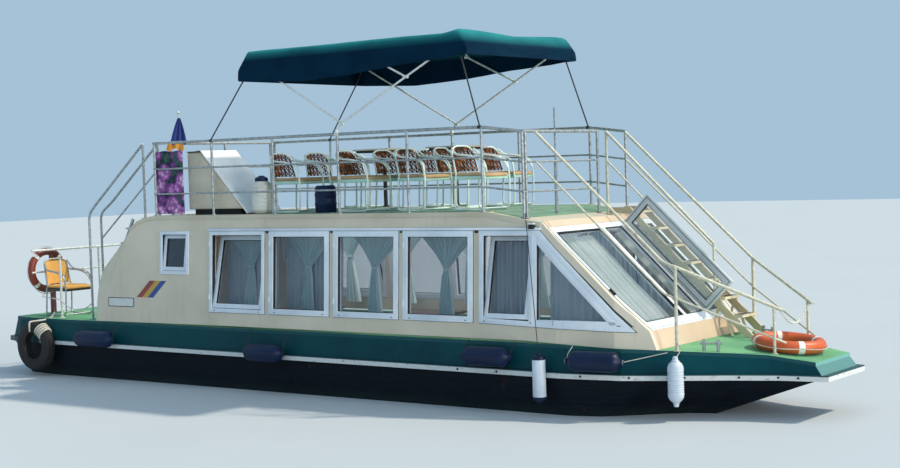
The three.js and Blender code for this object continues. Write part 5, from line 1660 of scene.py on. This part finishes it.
def fenderProfile(length, r, ribs=0, full=False):
    half = length / 2
    if full:
        ends = [(0, 0), (0.3, 0), (0.34, 0.02), (0.9, 0.032), (1, 0.045)]
    else:
        ends = [(0, 0), (0.22, 0), (0.28, 0.012), (0.28, 0.03), (0.45, 0.045), (0.78, 0.07), (0.95, 0.1),
                (1, 0.13)]
    ends = [(r * share, h - half) for share, h in ends]
    middle = []
    for i in range(ribs):
        z = -half + 0.15 + i * (length - 0.3) / ribs
        middle += [(r, z), (r * 0.93, z + 0.004), (r * 0.93, z + 0.01), (r, z + 0.014)]
    return ends + middle + [(a, -h) for a, h in ends[::-1]]


def addLyingFenders():
    for name, x, z, length, r in fenders["lying"]:
        lift = z - along(rubLine, x) - fenders["rubWide"] / 2
        out = r - 0.062 if lift > r else math.sqrt(r * r - max(lift, 0) ** 2)
        turn = rubTurn(x)
        middle = Vector((x, -(along(rubPlan, x) + out / math.cos(turn) + 0.004), z))
        axis = Vector((math.cos(turn), math.sin(turn), 0))
        body = latheOf(f"fender_{name}_body", fenderProfile(length, r), middle, axis)
        dress(body, "navy", node=f"fender_{name}")
        lines = []
        for end in (-1, 1):
            tip = middle + axis * end * (length / 2 - 0.02)
            line = [tip, tip + Vector((0, 0.02, 0.07)), (tip.x, tip.y + 0.13, along(deckLine, tip.x) - 0.005)]
            if name == "d" and end > 0:      # its light line runs straight on to the deck edge
                fore = tip.x + 0.4
                line = [tip, (fore, -along(rubPlan, fore) + 0.04, along(deckLine, fore) - 0.012)]
            lines.append((0.005, 0.05 if len(line) > 2 else 0, line))
            lines.append((0.03, 0, [tip - axis * end * 0.012, tip + axis * end * 0.018]))
        line = tubesOf(f"fender_{name}_line", lines, 1)
        dress(line, "rope" if name == "d" else "dark")


def addHangingFenders():
    for name, x, foot, top, r in fenders["hanging"]:
        plain = name == "e"
        y, deckEdge = -(along(rubPlan, x) + (r + 0.004) / math.cos(rubTurn(x))), along(deckLine, x)
        profile = fenderProfile(top - foot, r, 0 if plain else 9, plain)
        body = latheOf(f"fender_{name}_body", profile, (x, y, (foot + top) / 2))
        dress(body, "fenderWhite", node=f"fender_{name}")
        if plain:
            rim = [(0, 0.0), (r * 0.36, 0.0), (r * 0.4, 0.016), (r * 0.94, 0.03), (r * 1.03, 0.046),
                   (r * 1.03, 0.066), (0, 0.066)]
            knots = [(3.02, -wallHalf(3.02, 2.5) - 0.037, 2.5), (2.96, -1.19, 2.64)]
        else:
            rim = [(0, 0.0), (r * 0.26, 0.0), (r * 0.33, 0.012), (r * 0.33, 0.032), (r * 0.5, 0.046),
                   (0, 0.05)]
            knots = [(x, y + 0.12, deckEdge + 0.01), (4.732, -0.96, deckEdge + 0.12)]
        caps = [latheOf("cap", [(a, h - 0.004) for a, h in rim], (x, y, foot)),
                latheOf("cap", [(a, 0.004 - h) for a, h in rim], (x, y, top))]
        dress(joinAs(f"fender_{name}_caps", caps), "navy" if plain else "fenderWhite")
        line = tubesOf(f"fender_{name}_line", [(0.0045, 0.03, [(x, y, top - 0.02), *knots])], 1)
        dress(line, "dark" if plain else "rope")


tyre = {"x": -5.378, "z": 0.813, "radius": 0.345, "bore": 0.19, "half": 0.08, "side": 1.41}


def addTyre():
    x, z, r, bore, half = [tyre[key] for key in ("x", "z", "radius", "bore", "half")]
    y = -(tyre["side"] + half + 0.004)
    side = [(bore, 0.045), (bore + 0.006, 0.062), (bore + 0.03, 0.072), (bore + 0.034, 0.069),
            (bore + 0.06, 0.078), (r - 0.045, half), (r - 0.02, half - 0.006), (r - 0.004, 0.06)]
    tread = []
    for a, b in ((0.046, 0.04), (0.02, 0.014), (-0.014, -0.02), (-0.04, -0.046)):
        tread += [(r, a + 0.004), (r - 0.009, a), (r - 0.009, b), (r, b - 0.004)]
    inner = [(bore + 0.02, -0.03), (bore + 0.02, 0.03)]
    profile = side + tread + [(a, -h) for a, h in side[::-1]] + inner + [side[0]]
    body = latheOf("tyre_body", profile, (x, y, z), (0, 1, 0), 48)
    dress(body, "rubber", node="tyre_fender")
    face = y - half - 0.008
    loop = [(x - 0.02, face, z + bore + 0.02), (x - 0.02, face, z + r + 0.006), (x - 0.01, y, z + r + 0.01),
            (x, -1.32, 1.17), (x + 0.02, -1.2, 1.2), (x + 0.03, -1.16, 1.27)]
    around = Vector((math.cos(0.9), 0, math.sin(0.9)))
    middle = Vector((x, y, z)) + around * (r + bore) / 2
    coil = []
    for i in range(41):
        a = 2 * math.pi * i / 40
        coil.append(middle + around * math.cos(a) * 0.094 + Vector((0, 1, 0)) * math.sin(a) * (half + 0.014))
    runs = [(0.013, 0.03, loop)]
    for shift in (-0.045, -0.015, 0.015, 0.045):
        runs.append((0.014, 0, [point + Vector((shift, 0, -shift * 0.8)) for point in coil]))
    dress(tubesOf("tyre_rope", runs, 1), "rope")


slope = (along(deckLine, 5.26) - along(deckLine, 5.98)) / 0.72
lifeRings = {
    # centre, radius of the ring, radius of its body, axis
    "bow": ((5.6, 0, along(deckLine, 5.635) + 0.076), 0.335, 0.07, (math.sin(slope), 0, math.cos(slope))),
    "stern": ((-5.9255, -0.8, 1.85), 0.28, 0.055, (1, 0, 0)),
}


def addLifeRing(name, node, centre, radius, tube, axis, finish):
    deselectAll()
    bpy.ops.mesh.primitive_torus_add(major_radius=radius, minor_radius=tube,
                                     major_segments=72, minor_segments=20)
    ring = bpy.context.object
    ring.data.materials.append(finishes[finish])
    ring.data.materials.append(finishes["white"])
    wide = math.radians(6.5)
    bands = []
    for face in ring.data.polygons:
        angle = math.atan2(face.center.y, face.center.x) % (math.pi / 2)
        if abs(angle - math.pi / 4) < wide:
            face.material_index = 1
            bands.append(face.index)
    edit(ring)
    bpy.ops.mesh.select_all(action="DESELECT")
    done()
    for i in bands:
        ring.data.polygons[i].select = True
    bpy.ops.object.mode_set(mode="EDIT")
    bpy.ops.mesh.extrude_region_shrink_fatten(TRANSFORM_OT_shrink_fatten={"value": 0.0025})
    done()
    turn = Vector((0, 0, 1)).rotation_difference(Vector(axis)).to_matrix().to_4x4()
    ring.data.transform(Matrix.Translation(centre) @ turn)
    ring.name = ring.data.name = name
    smooth(ring, 50)
    dress(ring, None, node=node)
    line = []
    for i in range(97):
        a = 2 * math.pi * i / 96
        swing = abs(math.sin(2 * (a - math.pi / 4)))
        out = radius + tube + 0.004 + 0.014 * swing
        at = Vector((out * math.cos(a), out * math.sin(a), -0.012 * swing))
        line.append(Matrix.Translation(centre) @ turn @ at)
    dress(tubesOf(name + "_rope", [(0.0055, 0, line)], 1), "rope")


addLyingFenders()
addHangingFenders()
addTyre()
addLifeRing("bow_life_ring", "life_ring_bow", *lifeRings["bow"], "orange")
addLifeRing("stern_life_ring", "life_ring_stern", *lifeRings["stern"], "maroonRing")
print("houseboat: fenders and rings hung")


# small things on the side and the bow

sideDetails = {
    "cheek": [(-4.276, 1.195), (-4.271, 1.35), (-4.259, 1.493), (-4.241, 1.62), (-4.212, 1.736),
              (-4.18, 1.82), (-4.14, 1.895), (-4.085, 1.965), (-4.0, 2.045), (-3.88, 2.155),
              (-3.74, 2.295), (-3.601, 2.44)],
    "cheekX": -4.29,
    # start, pitch, width, slant, foot, top
    "stripes": (-3.447, 0.11, 0.108, 0.257, 1.543, 1.774),
    "plate": (-4.02, -3.5, 1.405, 1.53),
    "bolts": (2.1, 2.65, 3.2, 3.75, 4.3, 4.84, 5.36, 5.74, 5.95),
}


def addCheeks():   # the side plates run on past the sloping aft wall in a knee
    cheek, x = sideDetails["cheek"], sideDetails["cheekX"]
    inner = [(x + (z - boat["wallFoot"]) * boat["aftLean"], z) for z in (cheek[-1][1], 1.8, cheek[0][1])]
    near = layOnWall(joinAs("cabin_cheek_starboard", [boardOf([*cheek, *inner], -0.0004, 0.04, 0.0015)]))
    far = toPort(near, "cabin_cheek_port")
    for piece in (near, far):
        dress(smooth(piece, 30), "cream")


def addSideDetails():
    start, pitch, wide, slant, low, high = sideDetails["stripes"]
    for i, finish in enumerate(("stripeRed", "stripeYellow", "stripeBlue")):
        x = start + pitch * i
        corners = [(x, low), (x + wide, low), (x + wide + slant, high), (x + slant, high)]
        stripe = boardOf(corners, 0.0015, -0.0003, 0)
        dress(layOnWall(joinAs(f"side_stripe_{i + 1}", [stripe])), finish)
    plate = boardOf(rect(*sideDetails["plate"]), 0.004, 0.0, 0.002)
    rim = ringOf(rect(*sideDetails["plate"]), 0.008, 0.006, 0.0, 0.001)
    box = slab((3.05, -0.05, 2.462), (3.12, 0.01, 2.515), 0.006)
    lid = slab((3.045, -0.054, 2.515), (3.125, 0.01, 2.53), 0.004)
    for name, parts, finish in (("side_plate", [plate], "plate"), ("side_plate_rim", [rim], "dark"),
                                ("roof_edge_box", [box], "dark"), ("roof_edge_lid", [lid], "white")):
        dress(layOnWall(joinAs(name, parts)), finish)
    bolts = []
    for x in sideDetails["bolts"]:
        y, z, turn = -along(rubPlan, x), along(rubLine, x), rubTurn(x)
        out = Vector((math.sin(turn), -math.cos(turn), 0))
        bolts.append((0.014, 0, [Vector((x, y, z)) - out * 0.01, Vector((x, y, z)) + out * 0.005]))
    dress(tubesOf("rub_rail_bolts", bolts, 1), "dark")


chain = {
    "start": Vector((5.70, -0.405, 1.525)), "end": Vector((5.655, 0.43, 1.54)), "sag": 0.17,
    "links": 27, "radius": 0.0135, "wire": 0.0042, "stretch": 1.55,
}


def addChain():
    deselectAll()
    bpy.ops.mesh.primitive_torus_add(major_radius=chain["radius"], minor_radius=chain["wire"],
                                     major_segments=12, minor_segments=6)
    link = bpy.context.object
    place(link, lambda p: Vector((p.x * chain["stretch"], p.y, p.z)))
    start, end, sag, count = chain["start"], chain["end"], chain["sag"], chain["links"]
    links = []
    spots = []
    for i in range(count + 1):
        drop = sag * (1 - (2 * i / count - 1) ** 2)
        spots.append(start.lerp(end, i / count) - Vector((0, 0, drop)))
    for i, (a, b) in enumerate(zip(spots, spots[1:])):
        twin = copyOf(link)
        aim = (b - a).to_track_quat("X", "Z").to_matrix().to_4x4()
        turn = aim @ Matrix.Rotation(math.pi / 2 * (i % 2), 4, "X")
        twin.data.transform(Matrix.Translation((a + b) / 2) @ turn)
        links.append(twin)
    bpy.data.objects.remove(link)
    dress(smooth(joinAs("bow_chain", links)), "white")


addCheeks()
addSideDetails()
addChain()


# pale floor at the waterline, soft light

stage = {
    "sky": (0.56, 0.79, 1.0), "skyStrength": 0.68,
    "suns": [("sun", "SUN", (0.5, 0.38, 0.78), 3.0, 2.5, (1.0, 0.9, 0.74)),     # from the bow and port, above
             ("low_fill", "SUN", (1.0, -0.1, 0.2), 1.6, 20, (1.0, 0.96, 0.88))],
    "saloonLight": {"size": (5.6, 1.5), "energy": 44, "colour": (0.82, 0.93, 1.0), "place": (0.4, 0, 2.5)},
    "floor": ("bfc6cb", "b3bbc1"),
}


def addStage():
    deselectAll()
    bpy.ops.mesh.primitive_plane_add(size=160, location=(0, 0, boat["water"]))
    floor = settle(bpy.context.object)
    floor.name = "floor"
    finish, tree, shader = bare("pale_floor", stage["floor"][0], 0.7)
    clouds = ramp(tree, noise(tree, coords(tree), 0.4, 3.0), [(0.3, 0.0), (0.8, 0.3)])
    colourTo(tree, shader, mixed(tree, clouds, *stage["floor"]))
    floor.data.materials.append(finish)
    world = bpy.data.worlds.new("studio")
    world.use_nodes = True
    world.node_tree.nodes["Background"].inputs["Color"].default_value = (*stage["sky"], 1)
    world.node_tree.nodes["Background"].inputs["Strength"].default_value = stage["skyStrength"]
    bpy.context.scene.world = world
    for name, kind, towards, energy, spread, colour in stage["suns"]:
        light = bpy.data.lights.new(name, kind)
        light.energy = energy
        light.angle = math.radians(spread)
        light.color = colour
        lamp = bpy.data.objects.new(name, light)
        bpy.context.scene.collection.objects.link(lamp)
        lamp.rotation_mode = "QUATERNION"
        lamp.rotation_quaternion = Vector(towards).to_track_quat("Z", "Y")
    light = bpy.data.lights.new("saloon_daylight", "AREA")
    light.shape = "RECTANGLE"
    light.size, light.size_y = stage["saloonLight"]["size"]
    light.energy = stage["saloonLight"]["energy"]
    light.color = stage["saloonLight"]["colour"]
    lamp = bpy.data.objects.new("saloon_daylight", light)
    lamp.location = stage["saloonLight"]["place"]
    bpy.context.scene.collection.objects.link(lamp)
    bpy.context.scene.view_settings.view_transform = "Standard"


addStage()
print("houseboat: stage set")
